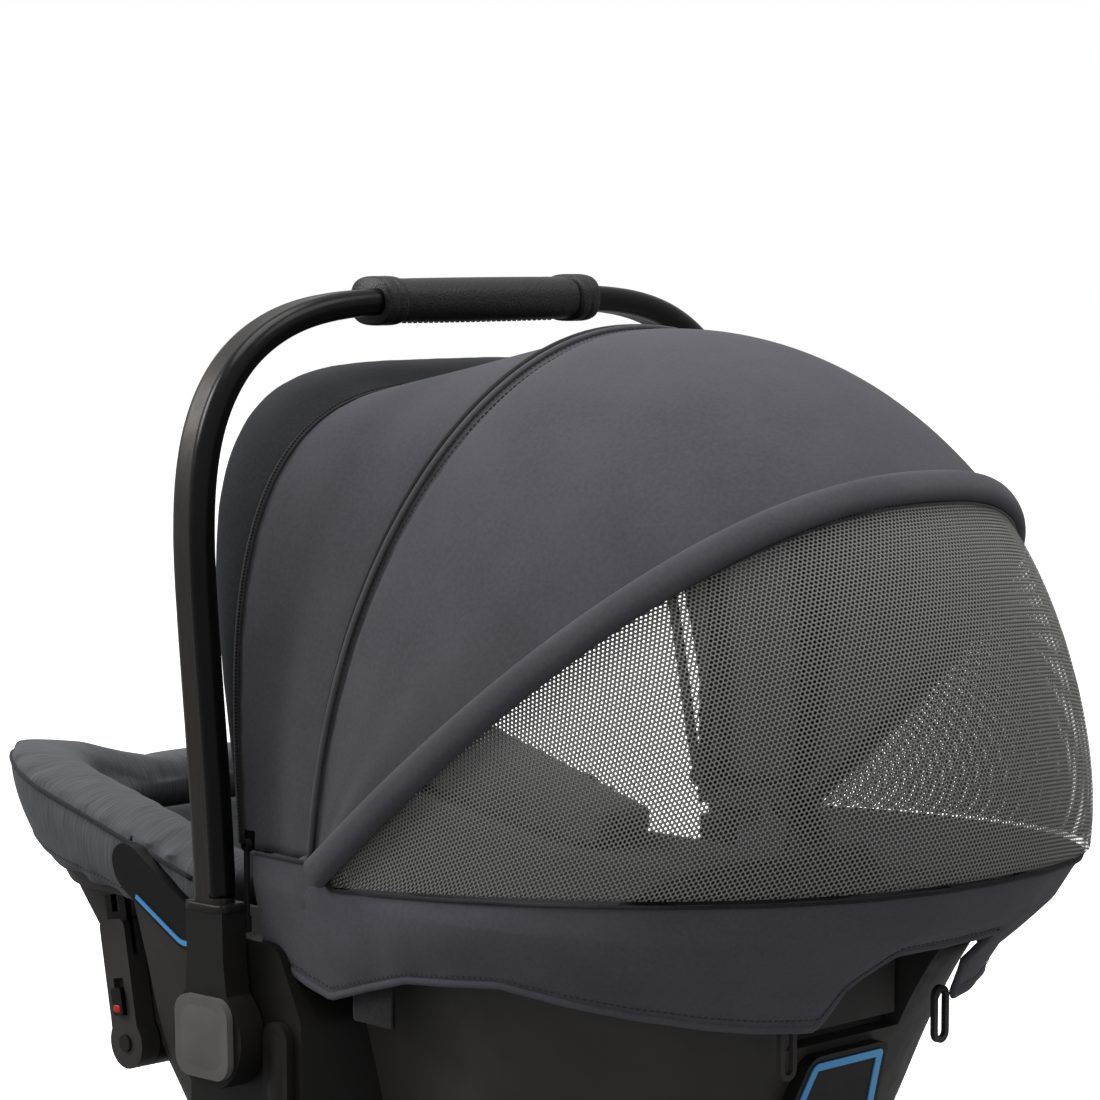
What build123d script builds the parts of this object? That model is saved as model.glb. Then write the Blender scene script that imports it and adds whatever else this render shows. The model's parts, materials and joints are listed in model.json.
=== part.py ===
from build123d import *
from math import asin, atan2, cos, degrees, hypot, pi, radians, sin
import os

# Infant car seat with a carry handle, folding canopy, harness and rigid anchor arms.
# Millimetres. X is across the seat, -Y the foot end, +Y the head end, +Z up from the floor.
# Places along Y are given from the handle's hub axis, and back() turns them into the part's own Y.

# Overall sizes
foot_reach = 281            # hub axis to the foot end
head_reach = 384            # hub axis to the back of the canopy
hub_y = (foot_reach - head_reach) / 2
hub_z = 200                 # hub axis above the floor
handle_radius = 391         # hub axis to the middle of the crossbar
handle_lean = 1.5           # degrees that the upright handle leans towards the foot end
shell_half_width = 180      # widest half of the shell, at its rim
hub_face_x = 207.5          # outer face of the handle's legs
fit = 0.3                   # gap between pieces that lie against each other
running_fit = 0.1           # radial gap of a hinge pin

# Shell
shell_wall = 4
shell_floor_z = 10
rim_foot_z, rim_side_z, rim_head_z = 290, 262, 299
rim_flat = 60               # the rim runs level this far each side of the hub
# height, set back from the foot and head reach, set in from the half width at foot and head, corner radii
shell_levels = (
    (shell_floor_z, 161, 234, 85, 82, 55, 70),
    (75, 137, 190, 64, 58, 70, 95),
    (150, 101, 139, 46, 38, 76, 115),
    (225, 53, 108, 30, 20, 80, 125),
    (300, 7, 54, 14, 0, 86, 160),
    (345, 7, 54, 14, 0, 86, 160),
)

# Seat cavity: its floor line from the foot end to the head end, from the hub axis and the floor
seat_floor = ((-236, 330), (-236, 262), (-200, 212), (-150, 150), (-95, 112), (-40, 104), (20, 122),
              (250, 262), (296, 300), (296, 330))
seat_corner_radius = 24
cavity_half_low, cavity_half_high = 92, 124
cavity_foot_corner, cavity_head_corner = 62, 112
foam_bottom_z = 45
foam_below_rim = 8
pad_thickness = 14

# Handle
leg_thickness = 16
hub_disc_radius = 29
leg_foot_half, leg_top_half = 20, 15.5
leg_top_z = hub_z + 72
tube_width, tube_depth, tube_corner, tube_wall = 25, 14, 6, 1.8
tube_in_leg = 22
axle_radius = 8
grip_half_length = 66
grip_height, grip_depth = 24, 32
band_length, band_extra = 15, 3
badge_width, badge_height, badge_thickness = 45, 44, 4

# Canopy
pivot_back, pivot_z = 64, 288
front_arch_back = 4
visor_pivot_z = 300
fabric = 2.5
bow_thickness, bow_width = 4, 8
eye_radius, pivot_pin_radius = 9, 3
front_power, mid_power, hood_power = 4, 2.2, 2.4
front_height, mid_height, crest_height, rear_height, net_height, ring_height = 256, 290, 315, 329, 331, 318
front_half, mid_half, crest_half, rear_half = 184, 187, 189.6, 190.2
mid_angle, crest_angle, rear_angle, ring_angle = 10, 29, 50, 86
visor_half, visor_height, visor_flare = 182, 244, 16
visor_bow_half = 169
visor_angle = -11

# Latch arms
anchor_spacing = 280        # standard distance between a car's lower anchor bars
latch_back, latch_z = -153, 160
latch_length = 72
latch_thickness, latch_width = 13, 24
latch_inner_x = (anchor_spacing - latch_thickness) / 2


def back(distance):
    """Y of a place that lies this far behind the hub axis."""
    return hub_y + distance


def mirrored(shape):
    """The same piece on the other side of the seat."""
    return mirror(shape, about=Plane.YZ)


def pair(shape):
    """The piece and its mirror image as one group of separate solids."""
    return Compound([*shape.solids(), *mirrored(shape).solids()])


def block(x0, x1, y0, y1, z0, z1):
    """Box between two corners, with Y from the hub axis."""
    centre = Location(((x0 + x1) / 2, back((y0 + y1) / 2), (z0 + z1) / 2))
    return centre * Box(abs(x1 - x0), abs(y1 - y0), abs(z1 - z0))


def side_prism(points, x0, x1):
    """Side outline, as (distance behind the hub, height), extruded from x0 to x1."""
    outline = make_face(Polyline([(back(y), z) for y, z in points], close=True))
    return Pos(x0, 0, 0) * extrude(Plane.YZ * outline, amount=x1 - x0)


def x_cylinder(radius, x0, x1, y, z):
    """Cylinder along X, with its Y from the hub axis."""
    return Location(((x0 + x1) / 2, back(y), z), (0, 90, 0)) * Cylinder(radius, abs(x1 - x0))


def plan_face(level, inset):
    """Plan of the shell at one level: a tapered box with round corners."""
    height, foot_set, head_set, foot_in, head_in, foot_radius, head_radius = level
    foot_half = shell_half_width - foot_in - inset
    head_half = shell_half_width - head_in - inset
    foot_y = back(-(foot_reach - foot_set) + inset)
    head_y = back(head_reach - head_set - inset)
    corners = [(-foot_half, foot_y), (foot_half, foot_y), (head_half, head_y), (-head_half, head_y)]
    radii = [foot_radius - inset, foot_radius - inset, head_radius - inset, head_radius - inset]
    return Pos(0, 0, height) * make_face(FilletPolyline(corners, radius=radii, close=True))


def shell_block(inset, floor_raise=0):
    """Solid boat shape of the shell, all its sides moved in by the inset."""
    faces = [plan_face(level, inset) for level in shell_levels]
    faces[0] = Pos(0, 0, floor_raise) * faces[0]
    return loft(faces)


def latch_recess(grow):
    """Room cut into both foot corners, where the latch arms lie and swing."""
    return pair(block(latch_inner_x - 1.5 - grow, shell_half_width + 20, latch_back - 95 - grow,
                      latch_back + 24 + grow, latch_z - 20 - grow, 250 + grow))


def below_rim(drop=0):
    """Everything lower than the shell's rim line, less a drop."""
    far = foot_reach + head_reach
    return side_prism([(-far, -10), (-far, rim_foot_z - drop), (-foot_reach, rim_foot_z - drop),
                       (-rim_flat, rim_side_z - drop), (rim_flat, rim_side_z - drop),
                       (head_reach, rim_head_z - drop), (far, rim_head_z - drop), (far, -10)],
                      -2 * shell_half_width, 2 * shell_half_width)


def cavity(inset):
    """Room for the child, its floor and sides moved in by the inset."""
    path = FilletPolyline([(back(y), z) for y, z in seat_floor],
                          radius=[seat_corner_radius] * (len(seat_floor) - 2))
    side = make_face([path, Line(path @ 1, path @ 0)])
    low, high = seat_floor[5][1] - 20, seat_floor[0][1]
    front = make_face(Polyline((-cavity_half_low, low), (cavity_half_low, low),
                               (cavity_half_high, high), (-cavity_half_high, high), close=True))
    foot_y, head_y = back(seat_floor[0][0]), back(seat_floor[-1][0])
    above = make_face(FilletPolyline((-cavity_half_high, foot_y), (cavity_half_high, foot_y),
                                     (cavity_half_high, head_y), (-cavity_half_high, head_y), close=True,
                                     radius=[cavity_foot_corner] * 2 + [cavity_head_corner] * 2))
    long = extrude(Plane.YZ * offset(side, -inset), amount=shell_half_width, both=True)
    cross = extrude(Plane.XZ * offset(front, -inset, kind=Kind.INTERSECTION),
                    amount=foot_reach + head_reach, both=True)
    return long & cross & extrude(offset(above, -inset), amount=high)


def arch_points(half, height, power, start):
    """Points of a superellipse arch from the +X foot over the crown to the -X foot."""
    first = asin((start / height) ** (power / 2))
    steps = 16
    points = []
    for i in range(steps + 1):
        angle = first + (pi - 2 * first) * i / steps
        x = half * abs(cos(angle)) ** (2 / power) * (1 if cos(angle) > 0 else -1)
        points.append((x, height * sin(angle) ** (2 / power)))
    points[steps // 2] = (0, height)
    return points


def fan_plane(angle, origin_back=pivot_back, origin_z=pivot_z):
    """Plane that holds an axis along X, turned back from upright by an angle."""
    a = radians(angle)
    return Plane(origin=(0, back(origin_back), origin_z), x_dir=(1, 0, 0), z_dir=(0, -cos(a), sin(a)))


def arch_face(plane, half, height, power, thickness, start):
    """Band between an arch and a smaller one inside it."""
    outer = arch_points(half, height, power, start)
    inner = arch_points(half - thickness, height - thickness, power, start)
    edges = [Spline(outer), Line(outer[-1], inner[-1]), Spline(inner[::-1]), Line(inner[0], outer[0])]
    return plane * make_face(edges)


def bow(plane, half, height, power, thickness, start=6):
    """Flat strip bent to an arch, as wide as bow_width."""
    return extrude(arch_face(plane, half, height, power, thickness, start), amount=bow_width / 2, both=True)


def drilled_eyes(half, thickness, y, z, radius, hole):
    """Hinge eyes at both ends of a bow, with their pin holes."""
    eye = x_cylinder(radius, half - thickness - 0.2, half + 0.3, y, z)
    bore = x_cylinder(hole, half - thickness - 5, half + 5, y, z)
    return eye + mirrored(eye), bore + mirrored(bore)


# Shell and the parts that line it
def make_shell(filled, inner, housing_block):
    """Thin tub, open at the rim, with a window for the release housing."""
    return ((filled - inner) & below_rim()) - housing_block


def make_foam(inner, room, housing_block):
    """Energy-absorbing liner between the shell and the child's room."""
    lower = block(-shell_half_width, shell_half_width, -foot_reach, head_reach, foam_bottom_z, rim_head_z + 50)
    return (inner & below_rim(foam_below_rim) & lower) - room - housing_block


def make_pad():
    """Padded cover that lines the floor and sides of the child's room."""
    return (cavity(fit) - cavity(pad_thickness)) & below_rim(foam_below_rim / 2)


bolster_front, bolster_low_side, bolster_low_foot = -34, 236, 266
bolster_top_side, bolster_top_foot = 276, 330
bolster_cover, bolster_depth = 7, 38


def make_bolster(filled, inner):
    """Soft rim cover round the foot end, with the shell's rim inside it."""
    outer = shell_block(-bolster_cover)
    ring = outer - shell_block(bolster_depth)
    far = -foot_reach - 20
    lengthwise = side_prism([(bolster_front, bolster_low_side), (bolster_front, bolster_top_side),
                             (-foot_reach + 30, bolster_top_foot), (far, bolster_top_foot),
                             (far, bolster_low_foot), (-foot_reach + 40, bolster_low_foot)],
                            -shell_half_width - 20, shell_half_width + 20)
    wall = (filled - inner) & below_rim(-fit)
    liner = inner & below_rim(foam_below_rim - fit)
    whole = (ring & lengthwise) - wall - liner - cavity(0)
    return max(whole.solids(), key=lambda s: s.volume)


# Outer fabric round the head end
apron_wall, apron_front = 2.6, 18
# height, half width, reach behind the canopy pivot
apron_levels = ((212, 178, 228), (252, 185.4, 250), (282, 190.8, 288), (316, 191.2, 319))
notch_half, notch_top_z = 50, 272
apron_low_z = 228


def apron_section(level, wall):
    """U-shaped band: two straight sides joined by half a superellipse."""
    height, half, reach = level

    def edge(w, r):
        points = [(x, back(pivot_back) + y) for x, y in arch_points(w, r, hood_power, 0.001)]
        front = back(apron_front) - 20
        return [Line((w, front), points[0]), Spline(points, tangents=[(0, 1), (0, -1)]),
                Line(points[-1], (-w, front))]
    outer, inner = edge(half, reach), edge(half - wall, reach - wall)
    ends = [Line(outer[0] @ 0, inner[0] @ 0), Line(outer[2] @ 1, inner[2] @ 1)]
    return Pos(0, 0, height) * make_face([*outer, *inner, *ends])


def make_apron(filled):
    """Fabric skirt round the rim, with a wavy hem and a notch over the release lever."""
    band = loft([apron_section(level, apron_wall) for level in apron_levels])
    ring_z = pivot_z + ring_height * cos(radians(ring_angle))
    top = [(apron_front, pivot_z + 12), (pivot_back + 2, pivot_z + 12), (pivot_back + 20, pivot_z - 1),
           (head_reach + 20, ring_z - 1)]
    hem = [(head_reach + 20, apron_low_z - 2), (300, apron_low_z - 2), (262, 238), (190, 253),
           (130, 248), (72, apron_low_z), (56, apron_low_z + 6)]
    outline = make_face([Polyline([(back(y), z) for y, z in top]),
                         Line((back(top[-1][0]), top[-1][1]), (back(hem[0][0]), hem[0][1])),
                         Line((back(hem[0][0]), hem[0][1]), (back(hem[1][0]), hem[1][1])),
                         Spline([(back(y), z) for y, z in hem[1:]]),
                         Line((back(hem[-1][0]), hem[-1][1]), (back(top[0][0]), top[0][1]))])
    band = band & extrude(Plane.YZ * outline, amount=2 * shell_half_width, both=True)
    notch_y = back(pivot_back + 100)
    arch = fillet((Rectangle(2 * notch_half, 2 * (notch_top_z - apron_low_z + 5))).vertices(), 30)
    notch = extrude(Plane.XZ.offset(-notch_y) * (Pos(0, apron_low_z - 5) * arch), amount=-head_reach)
    return max((band - notch - filled).solids(), key=lambda s: s.volume)


# Handle
housing_x = hub_face_x - leg_thickness - 2
housing_outline = ((-37, 132), (57, 132), (57, 213), (37, 252), (4, 252), (-37, 222))
housing_spread = 16         # the housing is this much wider where it meets the shell
paddle_back, paddle_low_z, paddle_high_z, paddle_width = 41, 150, 212, 20
paddle_proud, paddle_travel, paddle_seat = 5, 3, 9


def paddle(width, low, high, x0, x1):
    """Upright plate with round ends, used for the release paddle and its pocket."""
    shape = SlotOverall(high - low, width, rotation=90)
    place = Plane(origin=(x0, back(paddle_back), (low + high) / 2), x_dir=(0, 1, 0), z_dir=(1, 0, 0))
    return extrude(place * shape, amount=x1 - x0)


def make_hub_housing(filled):
    """Fixed boss on the shell's side that carries the handle's axle and the release paddle."""
    def outline(x, spread):
        points = [(back(y + (spread if y > 40 else -spread if y < 0 else 0)), z - (spread if z < hub_z else 0))
                  for y, z in housing_outline]
        return Pos(x, 0, 0) * (Plane.YZ * make_face(FilletPolyline(points, radius=13, close=True)))
    boss = loft([outline(shell_half_width - 60, housing_spread), outline(housing_x, 0)])
    pocket = paddle(paddle_width + 2 * fit, paddle_low_z - fit, paddle_high_z + fit,
                    housing_x - paddle_seat - paddle_travel - fit, housing_x + 1)
    axle_hole = x_cylinder(axle_radius, 0, housing_x + 1, 0, hub_z)
    return boss - filled - pocket - axle_hole


def make_paddle():
    """Button that frees the handle when it is pressed in."""
    return paddle(paddle_width, paddle_low_z, paddle_high_z, housing_x - paddle_seat, housing_x + paddle_proud)


def handle_path():
    """Middle line of the tube: legs, wide shoulders and a slightly crowned crossbar."""
    leg_x = hub_face_x - leg_thickness / 2
    top = hub_z + handle_radius
    foot = leg_top_z - tube_in_leg
    side = [(leg_x, foot), (leg_x + 2, top - 261), (leg_x + 7.5, top - 161), (leg_x + 7, top - 101),
            (leg_x - 1.5, top - 64), (leg_x - 21.5, top - 33), (leg_x - 57.5, top - 11), (leg_x - 117.5, top - 1.5)]
    points = side + [(0, top)] + [(-x, z) for x, z in side[::-1]]
    return Spline([(x, hub_y, z) for x, z in points], tangents=[(0, 0, 1), (0, 0, -1)])


def handle_bar(path, shrink=0):
    """Bar of the tube's outer section, or of its bore when it is shrunk."""
    leg_x = hub_face_x - leg_thickness / 2
    start = Plane(origin=(leg_x, hub_y, leg_top_z - tube_in_leg), z_dir=(0, 0, 1))
    section = RectangleRounded(tube_depth - 2 * shrink, tube_width - 2 * shrink, tube_corner - shrink)
    return sweep(start * section, path)


def lean(shape):
    """Turns a handle piece about the hub axis to the upright handle's resting lean."""
    return shape.rotate(Axis((0, hub_y, hub_z), (1, 0, 0)), handle_lean)


def make_leg():
    """Moulded lower leg of the handle, from the hub disc up to the socket that holds the tube."""
    inner_x = hub_face_x - leg_thickness
    disc = x_cylinder(hub_disc_radius, inner_x, hub_face_x, 0, hub_z)
    stem = side_prism([(-leg_foot_half, hub_z), (leg_foot_half, hub_z), (leg_top_half, leg_top_z - 30),
                       (leg_top_half, leg_top_z), (-leg_top_half, leg_top_z), (-leg_top_half, leg_top_z - 30)],
                      inner_x, hub_face_x)
    hole = x_cylinder(axle_radius + running_fit, inner_x - 1, hub_face_x + 1, 0, hub_z)
    return disc + stem - hole


def make_badge():
    """Plain rounded cap over the end of the axle."""
    plate = RectangleRounded(badge_width, badge_height, 11)
    place = Plane(origin=(hub_face_x, hub_y, hub_z), x_dir=(0, 1, 0), z_dir=(1, 0, 0))
    return extrude(place * plate, amount=badge_thickness)


def grip_piece(x0, x1, extra, bar):
    """Length of padded sleeve round the crossbar."""
    section = RectangleRounded(grip_depth + extra, grip_height + extra, (grip_height + extra) / 2 - 1)
    place = Plane(origin=(x0, hub_y, hub_z + handle_radius - 1), x_dir=(0, 1, 0), z_dir=(1, 0, 0))
    return extrude(place * section, amount=x1 - x0) - bar


# Canopy frame and its fabric
bow_inset = 3.2
front_bow_half, mid_bow_half, rear_bow_half = 177, 182, 187


def make_front_bow():
    """Arch that stands clear in front of the pivot, carried there by two side arms."""
    plane = fan_plane(0, front_arch_back)
    arch = bow(plane, front_bow_half, front_height - bow_inset, front_power, bow_thickness)
    eyes, bores = drilled_eyes(front_bow_half, bow_thickness, pivot_back, pivot_z,
                               eye_radius, pivot_pin_radius + running_fit)
    inner_x, outer_x = front_bow_half - bow_thickness - 0.2, front_bow_half + 0.3
    arm = block(inner_x, outer_x, front_arch_back - bow_width / 2 - 1, pivot_back, pivot_z - 5, pivot_z + 7)
    stud = x_cylinder(2.5, front_bow_half - 11, outer_x, front_arch_back, visor_pivot_z)
    lug = x_cylinder(eye_radius, inner_x, outer_x, front_arch_back, visor_pivot_z)
    return arch + eyes + pair(arm) + pair(stud) + pair(lug) - bores


def make_fan_bow(angle, half, height, power):
    """Arch in a plane through the pivot, with its eyes."""
    arch = bow(fan_plane(angle), half, height - bow_inset, power, bow_thickness)
    eyes, bores = drilled_eyes(half, bow_thickness, pivot_back, pivot_z,
                               eye_radius, pivot_pin_radius + running_fit)
    return arch + eyes - bores


def make_visor_bow():
    """Thin arch at the visor's front edge, hinged on the front bow's legs."""
    plane = fan_plane(visor_angle, front_arch_back, visor_pivot_z)
    arch = extrude(arch_face(plane, visor_bow_half, visor_height + visor_flare - bow_inset - fabric,
                             front_power, 3, 4), amount=3, both=True)
    eyes, bores = drilled_eyes(visor_bow_half, 3, front_arch_back, visor_pivot_z, 6, 2.5 + running_fit)
    return arch + eyes - bores


def make_panel(sections, start):
    """Sheet of canopy fabric stretched over arches, given as (plane, half, height, power)."""
    return loft([arch_face(plane, half, height, power, fabric, start)
                 for plane, half, height, power in sections])


def make_visor():
    """Brim of darker cloth that flares out ahead of the front bow."""
    planes = [fan_plane(a, front_arch_back, visor_pivot_z) for a in (visor_angle, visor_angle / 2, -0.6)]
    return make_panel([(plane, visor_half, visor_height + visor_flare * share, front_power)
                       for plane, share in zip(planes, (1, 0.5, 0))], 16)


def make_front_panel():
    return make_panel([(fan_plane(0, front_arch_back), front_half, front_height, front_power),
                       (fan_plane(3, 34), (front_half + mid_half) / 2, 272, (front_power + mid_power) / 2),
                       (fan_plane(mid_angle - 0.7), mid_half, mid_height, mid_power)], 22)


def make_main_panel():
    return make_panel([(fan_plane(mid_angle + 0.7), mid_half, mid_height, mid_power),
                       (fan_plane(crest_angle), crest_half, crest_height, hood_power),
                       (fan_plane(rear_angle - 0.6), rear_half, rear_height, hood_power)], 22)


def make_mesh_panel():
    return make_panel([(fan_plane(rear_angle + 0.6), rear_half, rear_height, hood_power),
                       (fan_plane(68), rear_half - 0.2, net_height, hood_power),
                       (fan_plane(ring_angle - 1.2), rear_half, ring_height, hood_power)], 22)


bracket_x1, bracket_half = 172, 11


def make_bracket(filled):
    """Canopy bracket that rises outside the shell's rim to the pivot."""
    foot = block(bracket_x1 - 30, bracket_x1, pivot_back - bracket_half, pivot_back + bracket_half, 240, 258)
    post = block(bracket_x1 - 8, bracket_x1, pivot_back - bracket_half, pivot_back + bracket_half, 240, pivot_z)
    head = x_cylinder(bracket_half, bracket_x1 - 8, bracket_x1, pivot_back, pivot_z)
    bore = x_cylinder(pivot_pin_radius, bracket_x1 - 9, bracket_x1 + 1, pivot_back, pivot_z)
    return foot + post + head - filled - bore


# Belt guides and the seat release at the back
guide_proud, stripe_proud = 14, 0.8
side_guide_back, side_guide_z, side_guide_tilt = -86, 259, -33
release_half, release_low_z, release_high_z = 50, 205, 262
release_back, release_wall = 250, 6
lever_back, lever_pivot_z, lever_low_z, lever_thickness = 267, 249, 219, 7
lever_half = 38


def side_outline(shape, x0, x1):
    """Extrudes a flat shape, drawn about the side belt guide's middle, along X."""
    place = Plane(origin=(x0, back(side_guide_back), side_guide_z), x_dir=(0, 1, 0), z_dir=(1, 0, 0))
    return extrude(place * (Rot(0, 0, side_guide_tilt) * shape), amount=x1 - x0)


def make_side_guide(filled, bolster):
    """Lap belt guide on the shell's flank, and the coloured stripe on its lower edge."""
    skin = shell_block(-guide_proud)
    plate = side_outline(SlotOverall(78, 32), 120, shell_half_width + 40)
    guide = (plate & skin) - filled - bolster
    ring = SlotOverall(72, 26) - SlotOverall(66, 20)
    lower = ring & (Pos(14, -8) * Rectangle(56, 22))
    stripe = (side_outline(lower, 120, shell_half_width + 40) & shell_block(-guide_proud - stripe_proud)) - skin
    return max(guide.solids(), key=lambda s: s.volume), max(stripe.solids(), key=lambda s: s.volume)


rear_guide_outline = ((-30, 206), (30, 206), (38, 160), (26, 140), (-26, 140), (-38, 160))
rear_guide_proud = 8


def rear_outline(points, radius, inset):
    """Extrudes a closed outline in X and Z through the back wall."""
    shape = make_face(FilletPolyline(points, radius=radius, close=True))
    shape = offset(shape, -inset) if inset else shape
    return extrude(Plane.XZ.offset(-back(180)) * shape, amount=-head_reach)


def make_rear_guide(filled):
    """Shoulder belt guide on the back, with a stripe along its edge."""
    skin = shell_block(-rear_guide_proud)
    guide = (rear_outline(rear_guide_outline, 8, 0) & skin) - filled
    ring = rear_outline(rear_guide_outline, 8, 4) - rear_outline(rear_guide_outline, 8, 8.5)
    stripe = (ring & shell_block(-rear_guide_proud - stripe_proud)) - skin
    return guide, stripe


def make_release_block(filled):
    """Outer shape of the release housing, which fills a window in the shell."""
    return block(-release_half, release_half, release_back, head_reach, release_low_z, release_high_z) & filled


def make_release_housing(housing_block):
    """Box with a pocket for the lever and bores for its pins."""
    pocket = block(-release_half + release_wall, release_half - release_wall, release_back + release_wall,
                   head_reach, release_low_z + release_wall, release_high_z - release_wall + 2)
    bore = x_cylinder(3, -release_half + 2, release_half - 2, lever_back, lever_pivot_z)
    return housing_block - pocket - bore


def make_lever():
    """Grip plate of the seat release, with a stub pin at each end."""
    plate = block(-lever_half, lever_half, lever_back - lever_thickness / 2, lever_back + lever_thickness / 2,
                  lever_low_z, lever_pivot_z)
    roll = x_cylinder(lever_thickness / 2, -lever_half, lever_half, lever_back, lever_pivot_z)
    pin = x_cylinder(3 - running_fit, -release_half + 2.5, release_half - 2.5, lever_back, lever_pivot_z)
    return plate + roll + pin


# Latch arms
latch_knuckle_radius, latch_pin_radius = 15, 5
button_width, button_length, button_height, button_travel, button_along = 9, 16, 3, 5, 27


def make_latch_bracket(filled):
    """Boss on the shell's flank with the pin that the latch arm turns on."""
    boss = x_cylinder(latch_knuckle_radius, 90, latch_inner_x - 0.5, latch_back, latch_z) - filled
    pin = x_cylinder(latch_pin_radius, latch_inner_x - 1.5, latch_inner_x + latch_thickness + 1.5,
                     latch_back, latch_z)
    return boss + pin


latch_lean = 14             # the stowed arm leans this far towards the foot end at its tip


def latch_plane():
    """Plane of the arm's outer side, with Y along the arm from its pin to its tip."""
    along = (0, -latch_lean / hypot(latch_lean, latch_length), latch_length / hypot(latch_lean, latch_length))
    across = (0, along[2], -along[1])
    return Plane(origin=(latch_inner_x, back(latch_back), latch_z), x_dir=across, z_dir=(1, 0, 0))


def make_latch_arm():
    """Arm body with its knuckle, the slot for the jaw and the pocket for the release button."""
    place = latch_plane()
    body = extrude(place * (Pos(0, latch_length / 2 - 4) * RectangleRounded(latch_width, latch_length + 8, 5)),
                   amount=latch_thickness)
    knuckle = x_cylinder(latch_knuckle_radius, latch_inner_x, latch_inner_x + latch_thickness, latch_back, latch_z)
    bore = x_cylinder(latch_pin_radius + running_fit, 100, 220, latch_back, latch_z)
    slot = extrude(place * (Pos(0, latch_length - 4) * Rectangle(latch_width + 2, 36)), amount=4.4)
    slot = Pos(latch_thickness / 2 - 2.2, 0, 0) * slot
    pocket = extrude(place * (Pos(0, button_along) * Rectangle(button_width + 2 * fit, button_length + button_travel + 2 * fit)),
                     amount=4)
    pocket = Pos(latch_thickness - 4, 0, 0) * pocket
    return body + knuckle - bore - slot - pocket


def make_latch_jaw():
    """Steel hook that grips the anchor bar, set in the arm's slot."""
    place = latch_plane()
    plate = Pos(0, latch_length - 3) * Rectangle(latch_width - 5, 34)
    mouth = Pos(0, latch_length + 12) * Rectangle(7, 16)
    jaw = extrude(place * (plate - mouth), amount=4)
    return Pos(latch_thickness / 2 - 2, 0, 0) * jaw


def make_latch_button():
    """Coloured slider that frees the jaw."""
    place = latch_plane()
    slider = extrude(place * (Pos(0, button_along - button_travel / 2) * RectangleRounded(button_width, button_length, 2)),
                     amount=4 - fit + button_height)
    return Pos(latch_thickness - 4 + fit, 0, 0) * slider


# Small pieces on the apron
tag_back, tag_length, tag_low_z, tag_high_z = 101, 31, 217, 251
hook_x, hook_back, hook_width, hook_low_z, hook_high_z = 60, 281.6, 12, 201, 232
slider_back, slider_z, slider_x = 9, 302, 184.5
pull_radius, pull_length = 1.6, 43


def make_tag():
    """Folded label that hangs below the hem on both sides."""
    return block(175.4, 177.4, tag_back - tag_length / 2, tag_back + tag_length / 2, tag_low_z, tag_high_z)


def make_hem_hook():
    """Loop that ties the hem down beside the release lever."""
    place = Plane(origin=(hook_x, back(hook_back), 0), x_dir=(1, 0, 0), z_dir=(0, 1, 0))
    middle = (hook_low_z + hook_high_z) / 2
    loop = Pos(0, -middle) * (SlotOverall(hook_high_z - hook_low_z, hook_width, rotation=90)
                              - SlotOverall(hook_high_z - hook_low_z - 6, hook_width - 6, rotation=90))
    return extrude(place * loop, amount=3)


def make_slider():
    """Zip slider at the lower front corner of the canopy, with an eye for its pull."""
    body = block(slider_x - 4, slider_x, slider_back - 4, slider_back + 4, slider_z - 4, slider_z + 7.5)
    return body + x_cylinder(1.2, slider_x - 2, slider_x + 4.5, slider_back, slider_z)


def make_pull():
    """Moulded cord pull that hangs from the slider's eye."""
    ring = x_cylinder(3.2, slider_x + 0.4, slider_x + 3.6, slider_back, slider_z)
    ring = ring - x_cylinder(1.2 + running_fit, slider_x, slider_x + 5, slider_back, slider_z)
    low = slider_z - 2.5 - pull_length
    cord = Location((slider_x + 2, back(slider_back), (low + slider_z - 2.5) / 2)) * Cylinder(pull_radius, pull_length)
    knob = Location((slider_x + 2, back(slider_back), low + 3)) * Cylinder(pull_radius + 0.8, 9)
    return ring + cord + knob


# Harness, laid on the inclined seat back
strap_width, strap_thickness, strap_lift = 34, 2, 5
strap_top, strap_low, strap_x = 214, 68, 36
buckle_half, buckle_low, buckle_high, buckle_thickness = 22, 18, 66, 16
clip_along, clip_height, clip_half = 118, 34, 58


def back_plane():
    """Face of the pad on the seat back: Y runs up the back and Z stands off it."""
    (y0, z0), (y1, z1) = seat_floor[6], seat_floor[7]
    run = hypot(y1 - y0, z1 - z0)
    normal = (-(z1 - z0) / run, (y1 - y0) / run)
    return Plane(origin=(0, back(y0) + normal[0] * pad_thickness, z0 + normal[1] * pad_thickness),
                 x_dir=(1, 0, 0), z_dir=(0, *normal))


def on_back(x0, x1, y0, y1, z0, z1):
    """Box on the seat back, given by its two corners there."""
    middle = Location(((x0 + x1) / 2, (y0 + y1) / 2, (z0 + z1) / 2))
    return back_plane() * (middle * Box(abs(x1 - x0), abs(y1 - y0), abs(z1 - z0)))


def shoulder_strap(grow=0):
    """Strap that comes out of the seat back and runs down to the buckle's tongue."""
    x0, x1 = strap_x - strap_width / 2 - grow, strap_x + strap_width / 2 + grow
    run = on_back(x0, x1, strap_low - grow, strap_top + grow, strap_lift - grow, strap_lift + strap_thickness + grow)
    leg = on_back(x0, x1, strap_top - strap_thickness - grow, strap_top + grow, -pad_thickness - 12 - grow,
                  strap_lift + strap_thickness + grow)
    return run + leg


def lap_strap(grow=0):
    """Strap from the side of the seat to the tongue."""
    return on_back(tongue_x1 + fit - grow, cavity_half_low + 10 + grow, 30 - grow, 60 + grow,
                   strap_lift - grow, strap_lift + strap_thickness + grow)


tongue_x0, tongue_x1 = 12, 34


def make_tongue():
    """Metal tongue that joins the shoulder and lap straps and plugs into the buckle."""
    return on_back(tongue_x0, tongue_x1, 32, 68, strap_lift - 0.4, strap_lift + strap_thickness + 0.4)


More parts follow.
